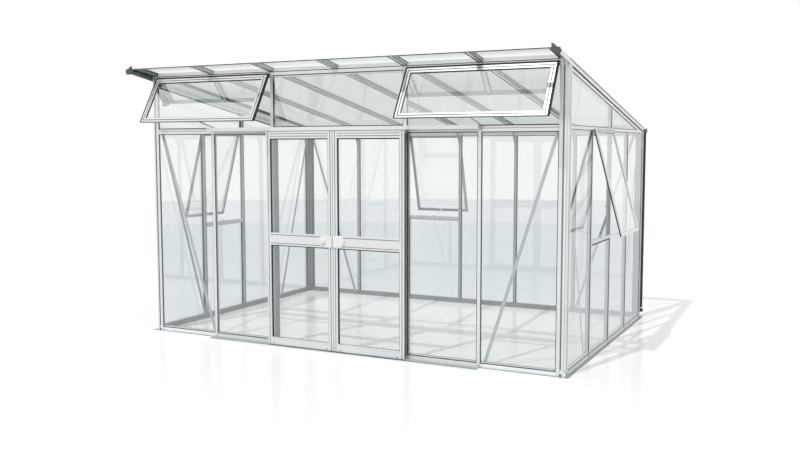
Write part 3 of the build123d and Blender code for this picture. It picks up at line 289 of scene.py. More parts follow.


# Painted shade: this share picks the faces that get the lit tone; inner faces and undersides get the shade
# tone
def lit_side_share(tree, place, normal):
    # How far each face looks out of the house, as a share: 1 on the outer faces of walls and roof
    centre = {0: place, 1: (0, middle_y, HALF_HEIGHT)}
    centred = add_node(tree, "VectorMath", centre, operation="SUBTRACT").outputs[0]
    house = {0: centred, 1: (half_width, half_depth, HALF_HEIGHT)}
    shares = add_node(tree, "VectorMath", house, operation="DIVIDE").outputs[0]
    facing = add_node(tree, "VectorMath", {0: shares, 1: normal}, operation="MULTIPLY").outputs[0]
    ways = add_node(tree, "SeparateXYZ", {0: facing}).outputs
    level = add_node(tree, "Math", {0: ways["X"], 1: ways["Y"]}, operation="MAXIMUM").outputs[0]
    most = add_node(tree, "Math", {0: level, 1: ways["Z"]}, operation="MAXIMUM").outputs[0]
    outer = {"Value": most, "From Min": OUTER_FROM, "From Max": OUTER_FULL}
    outer = add_node(tree, "MapRange", outer).outputs["Result"]

    # What stands in front of the wall lines gets the lit tone too, apart from undersides and inner faces
    sizes = add_node(tree, "VectorMath", {0: shares}, operation="ABSOLUTE").outputs[0]
    sides = add_node(tree, "SeparateXYZ", {0: sizes}).outputs
    widest = add_node(tree, "Math", {0: sides["X"], 1: sides["Y"]}, operation="MAXIMUM").outputs[0]
    lift = add_node(tree, "SeparateXYZ", {0: normal}).outputs["Z"]
    away = add_node(tree, "VectorMath", {0: shares, 1: normal}, operation="DOT_PRODUCT").outputs["Value"]
    lit_faces = 1.0
    for measure, limit in ((widest, PROUD), (lift, TURNED_AWAY), (away, TURNED_AWAY)):
        passed = add_node(tree, "Math", {0: measure, 1: limit}, operation="GREATER_THAN").outputs[0]
        lit_faces = add_node(tree, "Math", {0: lit_faces, 1: passed}, operation="MULTIPLY").outputs[0]
    return add_node(tree, "Math", {0: outer, 1: lit_faces}, operation="MAXIMUM").outputs[0]


slant = math.degrees(math.acos(OUTER_FULL))
print("a face on a wall line is outer up to", round(slant), "degrees off square")

# %% [markdown]
# ## Aluminium: the metal
# The die leaves faint lines along a profile, and the oxide skin has soft clouds. Both are noise here: the
# lines are stretched along the profile and vary the roughness, and the clouds vary the tone. An image could
# carry them, but noise has no seams and follows a size in millimetres. The skin on the metal is clear and
# hard, so the surface is half metallic and doesn't turn as dark as a bare mirror.

# %% Extruded aluminium
DIE_LINE = 4 * MM        # real die lines are finer than a millimetre, drawn coarser so that they show
DIE_RUN = 500 * MM
OXIDE_CLOUD = 350 * MM
LINE_SPREAD = (0.3, 0.7)
METAL_ROUGHNESS = (0.29, 0.33)
SKINNED_METAL = 0.5
# Lit tones for the faces that look out, and painted shade tones for inner faces and undersides
LIT_TONES, SHADE_TONES = ("#D5D6D7", "#E3E4E4"), ("#747A7B", "#8E9394")
WAYS = ("x", "y", "z")
SHARE, FIRST, SECOND, MIXED = 0, 6, 7, 2     # places of the colour sockets on a Mix node


def extruded_aluminium(name, along, lit_tones=LIT_TONES, shade_tones=SHADE_TONES):
    material, tree = empty_material(name)
    spot = add_node(tree, "TexCoord").outputs
    place, normal = spot["Object"], spot["Normal"]
    pitch = [1 / DIE_LINE] * 3
    pitch[WAYS.index(along)] = 1 / DIE_RUN
    stretched = add_node(tree, "Mapping", {"Vector": place, "Scale": pitch}).outputs[0]
    lines = {"Vector": stretched, "Scale": 1.0, "Detail": 2.0}
    lines = add_node(tree, "TexNoise", lines).outputs["Fac"]
    clouds = {"Vector": place, "Scale": 1 / OXIDE_CLOUD, "Detail": 2.0}
    clouds = add_node(tree, "TexNoise", clouds).outputs["Fac"]

    tones = []
    for dark, light in (shade_tones, lit_tones):
        shades = {SHARE: clouds, FIRST: linear(dark), SECOND: linear(light)}
        tones.append(add_node(tree, "Mix", shades, data_type="RGBA").outputs[MIXED])
    # Painted shade: the shade tones go on inner faces and undersides, the lit tones on the rest
    faces = {SHARE: lit_side_share(tree, place, normal), FIRST: tones[0], SECOND: tones[1]}
    gloss = {"Value": lines, "From Min": LINE_SPREAD[0], "From Max": LINE_SPREAD[1]}
    gloss.update({"To Min": METAL_ROUGHNESS[0], "To Max": METAL_ROUGHNESS[1]})
    metal = {
        "Base Color": add_node(tree, "Mix", faces, data_type="RGBA").outputs[MIXED],
        "Metallic": SKINNED_METAL,
        "Roughness": add_node(tree, "MapRange", gloss).outputs["Result"],
    }
    surface = add_node(tree, "BsdfPrincipled", metal).outputs[0]
    add_node(tree, "OutputMaterial", {"Surface": surface})
    return material


# Nearly white on the faces that look out, with painted shade in grey on the inner faces and undersides
aluminium = {along: extruded_aluminium("extruded_aluminium_" + along, along) for along in WAYS}
print("aluminium, by the way that its die lines run:", sorted(aluminium))

# %% [markdown]
# ## Aluminium: the other tones
# Not every profile gets the same tones. The glazing bars get a lighter painted shade on their inner faces,
# and the rear bars, the eaves beam and the sills a paler one still. The rails round the foot and along the
# roof's edge get painted light: their outer faces are nearly white, as in full sun. Braces are rolled flat
# bar. They differ in tone and not in pattern, so each is the same metal with other tones.

# %% More aluminium finishes
LIGHTER_SHADE, PALEST_SHADE = ("#999E9F", "#AEB2B3"), ("#B0B5B6", "#BFC3C4")
SUNLIT_TONES, SASH_SATIN = ("#F4F4F4", "#FCFCFC"), ("#CACCCC", "#D8D9D9")
RAFTER_SATIN = ("#D2D5D6", "#E0E2E2")
ROLLED_OUTER, ROLLED_INNER = ("#A8ADAE", "#BCC0C1"), ("#8E9394", "#A2A7A8")

# Lighter painted shade: the inner faces are a step lighter than on other profiles
lighter_shade_metal = extruded_aluminium("aluminium_lighter_painted_shade_z", "z", LIT_TONES, LIGHTER_SHADE)
# Paler painted shade still, for the rear wall, the eaves beam and the window sills
palest_shade_metal = extruded_aluminium("aluminium_palest_painted_shade", "z", LIT_TONES, PALEST_SHADE)
# Painted light: the outer faces are almost white, as in full sun
sunlit_metal = extruded_aluminium("aluminium_painted_sunlight", "x", SUNLIT_TONES)
# Satined on every side: rafters look pale from below as well
pale_rafter = extruded_aluminium("satin_aluminium_rafter", "y", LIT_TONES, RAFTER_SATIN)
# A deeper satin: the sashes stand out a little against the whiter rails behind them
sash_satin = extruded_aluminium("satin_aluminium_sash", "x", SASH_SATIN)
# Rolled: a plain middle grey that differs little from side to side
rolled_flat = extruded_aluminium("rolled_aluminium_flat", "z", ROLLED_OUTER, ROLLED_INNER)
print("more finishes:", lighter_shade_metal.name, sunlit_metal.name, rolled_flat.name)

# %% [markdown]
# ## Float glass
# The panes are clear toughened float glass. A pane mirrors little when it is seen square on and much when it
# is seen at a flat angle. A refracting glass would also block the key light or need many bounces, and a pane
# as thin as this doesn't shift what is behind it. So it is a clear surface and a mirror, mixed by the
# Fresnel share of both its faces, counted once on the face where a ray comes in and not at all for shadows.

# %% The mirror of a pane
GLASS_IOR = 1.52
MOST_MIRROR = 0.55     # keeps a pane at a flat angle from turning to a full mirror


def pane_mirror(tree, strength, shadow):
    fresnel = add_node(tree, "Fresnel", {"IOR": GLASS_IOR}).outputs[0]
    twice = add_node(tree, "Math", {0: fresnel, 1: 2.0 * strength}, operation="MULTIPLY").outputs[0]
    both = add_node(tree, "Math", {0: fresnel, 1: 1.0}, operation="ADD").outputs[0]
    share = add_node(tree, "Math", {0: twice, 1: both}, operation="DIVIDE").outputs[0]
    share = add_node(tree, "Math", {0: share, 1: MOST_MIRROR}, operation="MINIMUM").outputs[0]
    leaving = add_node(tree, "NewGeometry").outputs["Backfacing"]
    entering = add_node(tree, "Math", {0: 1.0, 1: leaving}, operation="SUBTRACT").outputs[0]
    seen = {0: entering, 1: shadow}
    seen = add_node(tree, "Math", seen, operation="SUBTRACT", use_clamp=True).outputs[0]
    return add_node(tree, "Math", {0: share, 1: seen}, operation="MULTIPLY").outputs[0]


print("glass mirrors", round(((GLASS_IOR - 1) / (GLASS_IOR + 1)) ** 2, 3), "at each face, square on")

# %% [markdown]
# ## Panes of walls, vents and roof
# The photograph's panes mirror more than bare float glass does, so walls and vents have a stronger mirror.
# The roof panes are coated against glare: a little grey, and weak as a mirror. Where they overhang the
# front, their grey fades toward the head beam, as it does in the photograph: the clear end by the head beam
# is a painted reflection of the bright vents.

# %% Glass finish
ROLLER_WAVE = 300 * MM                   # toughening leaves a faint wave at about this length
WAVE_DEPTH, WAVE_STRENGTH = 1 * MM, 0.02
POLISH = 0.02                            # float glass is as smooth as the melt that it lay on
CLEAR_GLASS, COATED_GLASS, LIT_GLASS = "#FDFEFE", "#EBEDED", "#FBFCFC"
WALL_MIRROR, VENT_MIRROR, ROOF_MIRROR = 2.0, 3.6, 0.3
OVERHANG, CLEAR_SHARE = 215 * MM, 0.2    # the last fifth of the overhang is clear


# Painted reflection: the overhang clears toward the head beam, as if it mirrored the bright vents
def overhang_tint(tree, place, tint, overhang):
    run = add_node(tree, "SeparateXYZ", {0: place}).outputs["Y"]
    fade = {"Value": run, "From Min": front_y - overhang, "From Max": front_y - overhang * CLEAR_SHARE}
    fade = add_node(tree, "MapRange", fade).outputs["Result"]
    outside = add_node(tree, "Math", {0: run, 1: front_y}, operation="LESS_THAN").outputs[0]
    faded = add_node(tree, "Math", {0: fade, 1: outside}, operation="MULTIPLY").outputs[0]
    tones = {SHARE: faded, FIRST: linear(tint), SECOND: WHITE}
    return add_node(tree, "Mix", tones, data_type="RGBA").outputs[MIXED]


def float_glass(name, tint, strength, overhang=0):
    material, tree = empty_material(name)
    place = add_node(tree, "TexCoord").outputs["Object"]
    shadow = add_node(tree, "LightPath").outputs["Is Shadow Ray"]
    wave = {"Vector": place, "Scale": 1 / ROLLER_WAVE, "Detail": 0.0}
    wave = add_node(tree, "TexNoise", wave).outputs["Fac"]
    ripple = {"Height": wave, "Strength": WAVE_STRENGTH, "Distance": WAVE_DEPTH}
    ripple = add_node(tree, "Bump", ripple).outputs[0]
    colour = overhang_tint(tree, place, tint, overhang) if overhang else linear(tint)
    body = add_node(tree, "BsdfTransparent", {"Color": colour}).outputs[0]
    lit = add_node(tree, "BsdfTransparent", {"Color": linear(LIT_GLASS)}).outputs[0]
    clear = add_node(tree, "MixShader", {0: shadow, 1: body, 2: lit}).outputs[0]
    shine = {"Color": WHITE, "Roughness": POLISH, "Normal": ripple}
    mirror = add_node(tree, "BsdfAnisotropic", shine).outputs[0]
    mirrored = pane_mirror(tree, strength, shadow)
    pane = add_node(tree, "MixShader", {0: mirrored, 1: clear, 2: mirror}).outputs[0]
    add_node(tree, "OutputMaterial", {"Surface": pane})
    return material


# Toughened float: clear, with a mirror image that grows toward flat angles
glass = float_glass("toughened_float_glass", CLEAR_GLASS, WALL_MIRROR)
# Reflective float: a stronger mirror, so the tilted vents catch the pale studio
vent_pane = float_glass("reflective_float_glass", CLEAR_GLASS, VENT_MIRROR)
# Coated float: a faint grey veil over what lies behind, with little glare
roof_pane = float_glass("coated_float_glass", COATED_GLASS, ROOF_MIRROR, OVERHANG)
print("glass made:", glass.name, vent_pane.name, roof_pane.name)

# %% [markdown]
# ## Plastics, rubber and small metal
# End caps, pipe, lock plates and rollers are plastic, with a fine even grain from the tool and a broad soft
# highlight. The seals are extruded rubber, nearly black and dull. Their grain is far too fine to show, so it
# is drawn some millimetres wide. All are one recipe with other tones, since only grain and gloss tell them
# apart.

# %% Grained finishes
GRAIN_STOPS = (0.3, 0.7)
GLOSS_SPREAD = 0.08
RELIEF_STRENGTH = 0.3
FINE_RELIEF, RUBBER_RELIEF = 0.05 * MM, 0.1 * MM


def grained(name, tones, roughness, grain_size, relief_depth=FINE_RELIEF, metallic=0.0):
    material, tree = empty_material(name)
    place = add_node(tree, "TexCoord").outputs["Object"]
    grain = {"Vector": place, "Scale": 1 / grain_size, "Detail": 3.0}
    grain = add_node(tree, "TexNoise", grain).outputs["Fac"]
    shade = add_node(tree, "ValToRGB", {"Fac": grain})
    for stop, code, position in zip(shade.color_ramp.elements, tones, GRAIN_STOPS):
        stop.position = position
        stop.color = linear(code)
    spread = {"Value": grain, "To Min": roughness - GLOSS_SPREAD, "To Max": roughness + GLOSS_SPREAD}
    relief = {"Height": grain, "Strength": RELIEF_STRENGTH, "Distance": relief_depth}
    skin = {
        "Base Color": shade.outputs["Color"],
        "Roughness": add_node(tree, "MapRange", spread).outputs["Result"],
        "Normal": add_node(tree, "Bump", relief).outputs["Normal"],
        "Metallic": metallic,
    }
    surface = add_node(tree, "BsdfPrincipled", skin).outputs[0]
    add_node(tree, "OutputMaterial", {"Surface": surface})
    return material


print("grain stops:", GRAIN_STOPS)

# %% [markdown]
# ## The list of small finishes
# Now each of them gets its tones, its roughness and the width of its grain. Plastics are smoother than
# rubber, and the plated metal and the metal grey of the painted shade lines use the same grain as small
# crystals and clouds.

# %% Plastics, rubber and small metal
# Extruded rubber: nearly black and dull, the thin outlines of the panes
rubber = grained("extruded_epdm_rubber", ("#0B0B0C", "#171819"), 0.75, 6 * MM, RUBBER_RELIEF)
# Grey lines: painted shade in grooves, and thin joint lines, softer than the black seals
shade_and_joint_lines = grained("grey_painted_shade_and_joint_lines", ("#2E3132", "#404445"), 0.75, 10 * MM)
# Moulded nylon: a dark grey with a soft sheen
dark_nylon = grained("moulded_grey_nylon", ("#404243", "#4C4E4F"), 0.5, 5 * MM, RUBBER_RELIEF)
# Extruded vinyl: black and smooth, with a clear highlight down the pipe
black_pvc = grained("extruded_black_pvc", ("#0F1011", "#1B1D1E"), 0.35, 8 * MM)
# Moulded plastic plates: an even, smooth off-white
white_abs = grained("moulded_white_abs", ("#C8C9C9", "#D6D6D6"), 0.35, 8 * MM)
# Turned acetal: white and a little waxy
acetal = grained("turned_white_acetal", ("#D6D7D6", "#E2E2E0"), 0.4, 4 * MM)
# Painted shade in grooves and under the verge edges: a middle grey metal that hardly gleams
shade_line_metal = grained("metal_painted_shade_lines", ("#686C6E", "#808486"), 0.5, 10 * MM, metallic=SKINNED_METAL)
# Zinc-plated steel: a grey metal with a fine crystal grain
zinc = grained("zinc_plated_steel", ("#6E7274", "#8B8F91"), 0.35, 4 * MM, metallic=1.0)
print("materials so far:", len(bpy.data.materials))

# %% [markdown]
# ## Dress the frame
# Each CAD node keeps its shape and takes its finish through its material slot. The record names the slot of
# every node, and the aluminium takes the version whose die lines run along that profile. A short list names
# the profiles that have a finish of their own.

# %% Put the finishes on the nodes
ALONG_Z = ("post", "glazing_bars", "door_frame", "brace")
ALONG_Y = ("left_base", "right_base", "side_rails", "raking", "rafters", "verge", "stays", "window_s")
FINISHES = {
    "clear_glass": glass,
    "dark_caps": dark_nylon,
    "black_pipe": black_pvc,
    "white_plates": white_abs,
    "rollers": acetal,
}
SPECIAL = {
    roof_pane: ("roof_glass",),
    vent_pane: ("front_vent_glass",),
    sunlit_metal: ("roof_front_rail", "front_base_rail", "left_base_rail", "right_base_rail"),
    pale_rafter: ("roof_rafters", "raking_rails"),
    sash_satin: ("front_vent_sashes",),
    rolled_flat: ("wind_braces",),
    lighter_shade_metal: ("front_glazing_bars", "left_glazing_bars", "right_glazing_bars"),
    palest_shade_metal: ("back_glazing_bars", "back_eaves_beam", "window_sill_rails"),
}
special = {name: finish for finish, names in SPECIAL.items() for name in names}


def profile_way(name):
    if any(word in name for word in ALONG_Z):
        return "z"
    return "y" if any(word in name for word in ALONG_Y) else "x"


for name, node in nodes.items():
    slot_name = node.material_slots[0].material.name.split(".")[0]
    finish = FINISHES.get(slot_name) or aluminium[profile_way(name)]
    node.material_slots[0].material = special.get(name, finish)
print("dressed:", len(nodes), "with a finish of their own:", sum(name in nodes for name in special))

# %% [markdown]
# ## Small parts
# Seals and fittings are modelled as meshes. A seal is a small section swept along a path and mitred at the
# corners. A screw, a nut or a ring is a profile turned about an axis. Curves and modifiers could do both,
# but a few lines that set the points directly keep each mesh exact and light. Sections and profiles are in
# millimetres, and places are in metres like the frame.

# %% Sweep and turn
def band(bm, points, normal, section, closed=True):
    # A section lists insets, to the left of the path as seen from the normal's side, and lifts off the path
    rows = []
    for k, point in enumerate(points):
        ways = []
        if closed or k > 0:
            ways.append((point - points[k - 1]).normalized())
        if closed or k < len(points) - 1:
            ways.append((points[(k + 1) % len(points)] - point).normalized())
        side = sum((normal.cross(way) for way in ways), Vector()) / len(ways)
        side /= side.length_squared
        rows.append([bm.verts.new(point + (side * inset + normal * lift) * MM) for inset, lift in section])
    pairs = list(zip(rows, rows[1:] + rows[:1]))
    for low, high in pairs if closed else pairs[:-1]:
        for k in range(len(section)):
            bm.faces.new((low[k - 1], low[k], high[k], high[k - 1]))
    if not closed:
        bm.faces.new(rows[0])
        bm.faces.new(rows[-1])


def lay_strip(bm, ends, out, width, thickness):
    edge = width / 2
    section = [(-edge, 0), (-edge, thickness), (edge, thickness), (edge, 0)]
    band(bm, ends, out, section, closed=False)


def turned(bm, profile, centre, axis, steps):
    # A profile lists radii and heights along the axis
    across = axis.orthogonal().normalized()
    beside = axis.cross(across).normalized()
    turns = [math.tau * step / steps for step in range(steps)]
    spokes = [across * math.cos(angle) + beside * math.sin(angle) for angle in turns]
    rings = []
    for radius, height in profile:
        rings.append([bm.verts.new(centre + (spoke * radius + axis * height) * MM) for spoke in spokes])
    for low, high in zip(rings, rings[1:]):
        for k in range(steps):
            bm.faces.new((low[k - 1], low[k], high[k], high[k - 1]))
    bm.faces.new(rings[0])
    bm.faces.new(rings[-1])


print("ready to sweep and turn")

# %% [markdown]
# ## Pieces that ride the frame
# Parts of one kind share one object, which keeps the list of pieces short. Each object takes the name of a
# slot from the record, and rides the body that it is fixed to, so what sits on a door leaf slides with it.

# %% Fix a piece to a body
def fitting(name, bm, finish, body="house"):
    bmesh.ops.recalc_face_normals(bm, faces=bm.faces)
    mesh = bpy.data.meshes.new(name)
    bm.to_mesh(mesh)
    bm.free()
    mesh.materials.append(finish)
    made = bpy.data.objects.new(name, mesh)
    bpy.context.scene.collection.objects.link(made)
    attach(made, body)
    print(name, "faces:", len(mesh.polygons))


UP, FRONT, REAR = Vector((0, 0, 1)), Vector((0, -1, 0)), Vector((0, 1, 0))
SIDES = (-1, 1)
print("sides:", SIDES)

# %% [markdown]
# ## Glazing seals
# Every pane sits between two rubber lips, one under the caps and one on the flange of the bar. They show as
# thin dark lines round the glass, and these lines make a glazed wall read as panes and not as one sheet. We
# first note the heights between which the panes show, and the fall of the roof over the gables.

# %% Lines of the openings
CAP_WIDTH = 27 * MM     # a cap covers the edges of two panes, half of it on each
SHELF, TRANSOM_LOW, TRANSOM_HIGH, HEAD_LOW = 36 * MM, 1787 * MM, 1838 * MM, 2267 * MM
SIDE_RAIL_LOW, SIDE_RAIL_HIGH, EAVES_LOW = 1802 * MM, 1826 * MM, 1790 * MM
SILL_LOW, REAR_SILL_LOW = 900 * MM, 888 * MM
RAKE_DROP, RAKE_POINT = 75 * MM, 20 * MM
PITCH = 0.17272         # fall of the roof for each metre toward the rear
SEAT_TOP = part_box("front_head_beam")[1].z

lap = CAP_WIDTH / 2
rake_end = front_y + (SEAT_TOP - RAKE_DROP - SIDE_RAIL_HIGH) / PITCH - RAKE_POINT


def seat(y):
    return SEAT_TOP - PITCH * (y - front_y)


def opening(low, high, foot, head):
    near, far = low + lap, high - lap
    return [(near, foot), (far, foot), (far, head), (near, head)]


def gable_opening(near, far):
    head = [(far, seat(far) - RAKE_DROP), (near, seat(near) - RAKE_DROP)]
    return [(near, SIDE_RAIL_HIGH), (far, SIDE_RAIL_HIGH)] + head


print("roof seat: front", round(seat(front_y), 3), "rear", round(seat(back_y), 3))

# %% [markdown]
# ## Outlines of the fixed panes
# Each fixed pane shows inside one field of a wall, or across two fields in the gables and over the doors.
# The fields with a window have a shorter pane below it. A list of corners for each pane is all that the
# seals need.

# %% Outline the fixed panes
REAR_WINDOW, SIDE_WINDOW = 2, 1     # the fields that hold a window over a lower pane

front_panes, rear_panes = [opening(-field, field, TRANSOM_HIGH, HEAD_LOW)], []
for number, (low, high) in enumerate(zip(front_lines, front_lines[1:])):
    beside_doors = abs(low + high) / 2 > field
    if beside_doors:
        front_panes.append(opening(low, high, SHELF, TRANSOM_LOW))
    head = REAR_SILL_LOW if number == REAR_WINDOW else EAVES_LOW
    rear_panes.append(opening(low, high, SHELF, head))
side_panes = [gable_opening(side_lines[0] + lap, side_lines[2] - lap)]
side_panes.append(gable_opening(side_lines[2] + lap, rake_end))
for number, (low, high) in enumerate(zip(side_lines, side_lines[1:])):
    head = SILL_LOW if number == SIDE_WINDOW else SIDE_RAIL_LOW
    side_panes.append(opening(low, high, SHELF, head))

panes = [([Vector((x, front_y, z)) for x, z in ring], FRONT) for ring in front_panes]
panes += [([Vector((x, back_y, z)) for x, z in ring[::-1]], REAR) for ring in rear_panes]
for side in SIDES:
    out = Vector((side, 0, 0))
    panes += [([Vector((side * half_width, y, z)) for y, z in ring[::side]], out) for ring in side_panes]
print("fixed panes:", len(panes))

# %% [markdown]
# ## Lips round the panes
# Both lips are extruded rubber with a sloping back. The outer one lies just under the cap and the inner one
# stands behind the glass, so a pane that is seen at an angle has a thin line outside and a wider one inside.
# The inner lip is drawn wider than a real seal, and the extra width is painted shade on the side faces of
# the bars.

# %% Seal the fixed panes
OUTER_LIP = [(0, -3), (0, -0.6), (2.5, -0.6), (4, -3)]
# The inner lip is a real seal, drawn wider so that it also paints the shade on the side faces of the bars
INNER_LIP = [(1.5, -7), (1.5, -12.5), (5.5, -11), (7.5, -7)]

seals = bmesh.new()
for corners, out in panes:
    for lip in (OUTER_LIP, INNER_LIP):
        band(seals, corners, out, lip)
fitting("glazing_seals", seals, rubber)

# %% [markdown]
# ## Opening sashes
# Vents and windows hang from their top edge and stand open, vents by 30 degrees and windows by 15. Each has
# a lip round its glass and a rubber seal round its rim, which shows as a black outline while the sash is
# open. On the vents the rim is drawn taller than a real seal, and the extra height is painted shade of the
# gap under the head beam. We describe both kinds once and lay everything in the sash's own directions:
# along, down and out of its face.

# %% Describe the sashes
VENT = {
    "tilt": math.radians(30),
    "half": 602.5 * MM,
    "foot": 447 * MM,
    "glass": (553.5 * MM, 49 * MM, 410 * MM),     # half width, head and foot of the opening
    "lip": [(0, 12), (0, 15.5), (4, 15.5), (6, 12)],
    # The vent rim is a real seal, drawn tall so that it also paints the shade of the gap under the head beam
    "rim": [(-1.5, 0.5), (-1.5, 19), (11.8, 19), (11.8, 8.1), (-0.1, 8.1), (-0.1, 0.5)],
}
WINDOW = {
    "tilt": math.radians(15),
    "half": 300 * MM,
    "foot": 860 * MM,
    "glass": (273 * MM, 27 * MM, 833 * MM),
    "lip": [(0, 12), (0, 13), (1, 13), (1.5, 12)],
    "rim": [(-1.2, 1), (-1.2, 10), (-0.1, 10), (-0.1, 1)],
}
VENT_HINGE, SIDE_HINGE, REAR_HINGE = 2270 * MM, 1806 * MM, 1794 * MM

window_y = (side_lines[SIDE_WINDOW] + side_lines[SIDE_WINDOW + 1]) / 2
window_x = (front_lines[REAR_WINDOW] + front_lines[REAR_WINDOW + 1]) / 2
sashes = [(VENT, Vector((side * 2 * field, front_y, VENT_HINGE)), FRONT) for side in SIDES]
for side in SIDES:
    sashes.append((WINDOW, Vector((side * half_width, window_y, SIDE_HINGE)), Vector((side, 0, 0))))
sashes.append((WINDOW, Vector((window_x, back_y, REAR_HINGE)), REAR))


def sash_axes(sash, out):
    along = UP.cross(out)
    down = out * math.sin(sash["tilt"]) - UP * math.cos(sash["tilt"])
    face = out * math.cos(sash["tilt"]) + UP * math.sin(sash["tilt"])
    return along, down, face


print("sashes:", len(sashes))

# %% [markdown]
# ## Seals of the sashes
# The lip runs round the opening of the glass. The rim seal runs along the head and both sides, and stays off
# the foot, where water must drip away freely. Both are swept in the tilted plane of their sash.

# %% Seal the sashes
lips, rims = bmesh.new(), bmesh.new()
for sash, hinge, out in sashes:
    along, down, face = sash_axes(sash, out)
    half, head, foot = sash["glass"]
    corners = ((-half, foot), (half, foot), (half, head), (-half, head))
    band(lips, [hinge + along * across + down * drop for across, drop in corners], face, sash["lip"])
    half, foot = sash["half"], sash["foot"]
    corners = ((half, foot), (half, 0), (-half, 0), (-half, foot))
    rim = [hinge + along * across + down * drop for across, drop in corners]
    band(rims, rim, face, sash["rim"], closed=False)
fitting("sash_lips", lips, rubber)
fitting("sash_rim_seals", rims, rubber)

# %% [markdown]
# ## Hinges and lines of the sashes
# Short hinge knuckles sit at the top edge, each a turned barrel. The vents have a dark strip on the floor of
# the groove round their frame, which is painted shade, and the windows have two thin lines across the top
# rail.
# They are strips of mesh and not part of a material, so they keep their width from every side.

# %% Hinges and lines
KNUCKLE = [(0.5, -22), (5, -22), (5, 22), (0.5, 22)]
KNUCKLE_SHARE, KNUCKLE_OUT, KNUCKLE_DOWN, KNUCKLE_STEPS = 0.7, 12 * MM, 4 * MM, 12
# Painted shade: the vent's groove strip is darker than the frame, as the shade deep in the groove
VENT_LINE = [(0, 17), (0, 20.2), (6.6, 20.2), (6.6, 17)]
VENT_LINE_SIDE, VENT_LINE_FOOT = 26.2 * MM, 14.2 * MM
WINDOW_LINE = [(-2, 20), (-2, 20.5), (2, 20.5), (2, 20)]
WINDOW_LINES = (5 * MM, 20 * MM)

knuckles, lines = bmesh.new(), bmesh.new()
for sash, hinge, out in sashes:
    along, down, face = sash_axes(sash, out)
    half = sash["half"]
    for share in (-KNUCKLE_SHARE, KNUCKLE_SHARE):
        centre = hinge + along * half * share + face * KNUCKLE_OUT + down * KNUCKLE_DOWN
        turned(knuckles, KNUCKLE, centre, along, KNUCKLE_STEPS)
    if sash is VENT:
        wide, head, foot = half - VENT_LINE_SIDE, VENT_LINE_SIDE, sash["foot"] - VENT_LINE_FOOT
        corners = ((-wide, foot), (wide, foot), (wide, head), (-wide, head))
        band(lines, [hinge + along * across + down * drop for across, drop in corners], face, VENT_LINE)
    else:
        for drop in WINDOW_LINES:
            ends = [hinge + along * across + down * drop for across in (-half, half)]
            band(lines, ends, face, WINDOW_LINE, closed=False)
fitting("sash_hinges", knuckles, aluminium["x"])
fitting("vent_groove_floors", lines, shade_and_joint_lines)

# %% [markdown]
# ## Lines under the roof
# Under the roof the rafters and verges carry rubber strips for the glass. From below they draw pairs of dark
# lines beside a light middle. They follow the slope, so each strip is laid between two points on the roof's
# seat and thickened downward, square to the slope.

# %% Strips under the roof
ROOF_FRONT, ROOF_BACK = front_y - 274 * MM, back_y - 40 * MM
RAFTER_LINE, RAFTER_STRIP, STRIP_DEPTH = 19 * MM, 9, 1.5
VERGE_STRIPS = ((1845 * MM, 8), (1884 * MM, 24), (1909 * MM, 8))     # place and width of each
under = Vector((0, -PITCH, -1)).normalized()

strips = bmesh.new()
for x in front_lines[1:-1]:
    for shift in (-RAFTER_LINE, RAFTER_LINE):
        ends = [Vector((x + shift, y, seat(y))) for y in (ROOF_FRONT, ROOF_BACK)]
        lay_strip(strips, ends, under, RAFTER_STRIP, STRIP_DEPTH)
for side in SIDES:
    for x, width in VERGE_STRIPS:
        ends = [Vector((side * x, y, seat(y))) for y in (ROOF_FRONT, front_y)]
        lay_strip(strips, ends, under, width, STRIP_DEPTH)
print("strips under the roof, faces:", len(strips.faces))

# %% [markdown]
# ## Lines on the walls
# More strips close the joint below the raking rails of the gables, the ledge of the transom beside the
# doors, the foot of the closing pieces over the head beam and the sills of the side windows. Two more are
# painted shade: a dark line over the head of each vent, where the gap above the open sash lies in shade, and
# one along the lower edge of the roof's front rail, as its shadow line. They are laid in the same way and
# join the strips of the roof.

# %% Strips on the walls
GABLE_JOINT, GABLE_INSET = (45 * MM, 14, 4.8), 4 * MM     # a strip's shift from its line, width, thickness
LEDGE, LEDGE_START = (4 * MM, 7, 2.5), 15 * MM
CLOSING_FOOT, VENT_HEAD = (4 * MM, 5, 1.2), (17 * MM, 6, 1.2)
SILL_LINE, NOSE_LINE = (3 * MM, 6, 0.8), (4 * MM, 6, 0.8)
house_end = front_lines[-1] - lap
rail_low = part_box("roof_front_rail")[0]

for side in SIDES:
    out = Vector((side, 0, 0))
    drop, *section = GABLE_JOINT
    for near, far in zip(side_lines[::2], side_lines[2::2]):
        x, run = side * (half_width - GABLE_INSET), (near + lap, far - lap)
        lay_strip(strips, [Vector((x, y, seat(y) - drop)) for y in run], out, *section)
    rise, *section = SILL_LINE
    run = side_lines[SIDE_WINDOW] + lap, side_lines[SIDE_WINDOW + 1] - lap
    lay_strip(strips, [Vector((side * half_width, y, SILL_LOW + rise)) for y in run], out, *section)
    drop, *section = LEDGE
    run = side * (field + LEDGE_START), side * house_end
    lay_strip(strips, [Vector((x, front_y, TRANSOM_HIGH - drop)) for x in run], FRONT, *section)
    # Painted shade: a dark strip for the shaded gap over the open vent
    drop, *section = VENT_HEAD
    run = side * 2 * field - VENT["half"], side * 2 * field + VENT["half"]
    lay_strip(strips, [Vector((x, front_y, SEAT_TOP - drop)) for x in run], FRONT, *section)
drop, *section = CLOSING_FOOT
run = -house_end, house_end
lay_strip(strips, [Vector((x, front_y, SEAT_TOP - drop)) for x in run], FRONT, *section)
# Painted shade: a dark strip for the shadow line under the roof's front rail
rise, *section = NOSE_LINE
run = rail_low.x, -rail_low.x
lay_strip(strips, [Vector((x, rail_low.y, rail_low.z + rise)) for x in run], FRONT, *section)
fitting("roof_seals", strips, rubber)

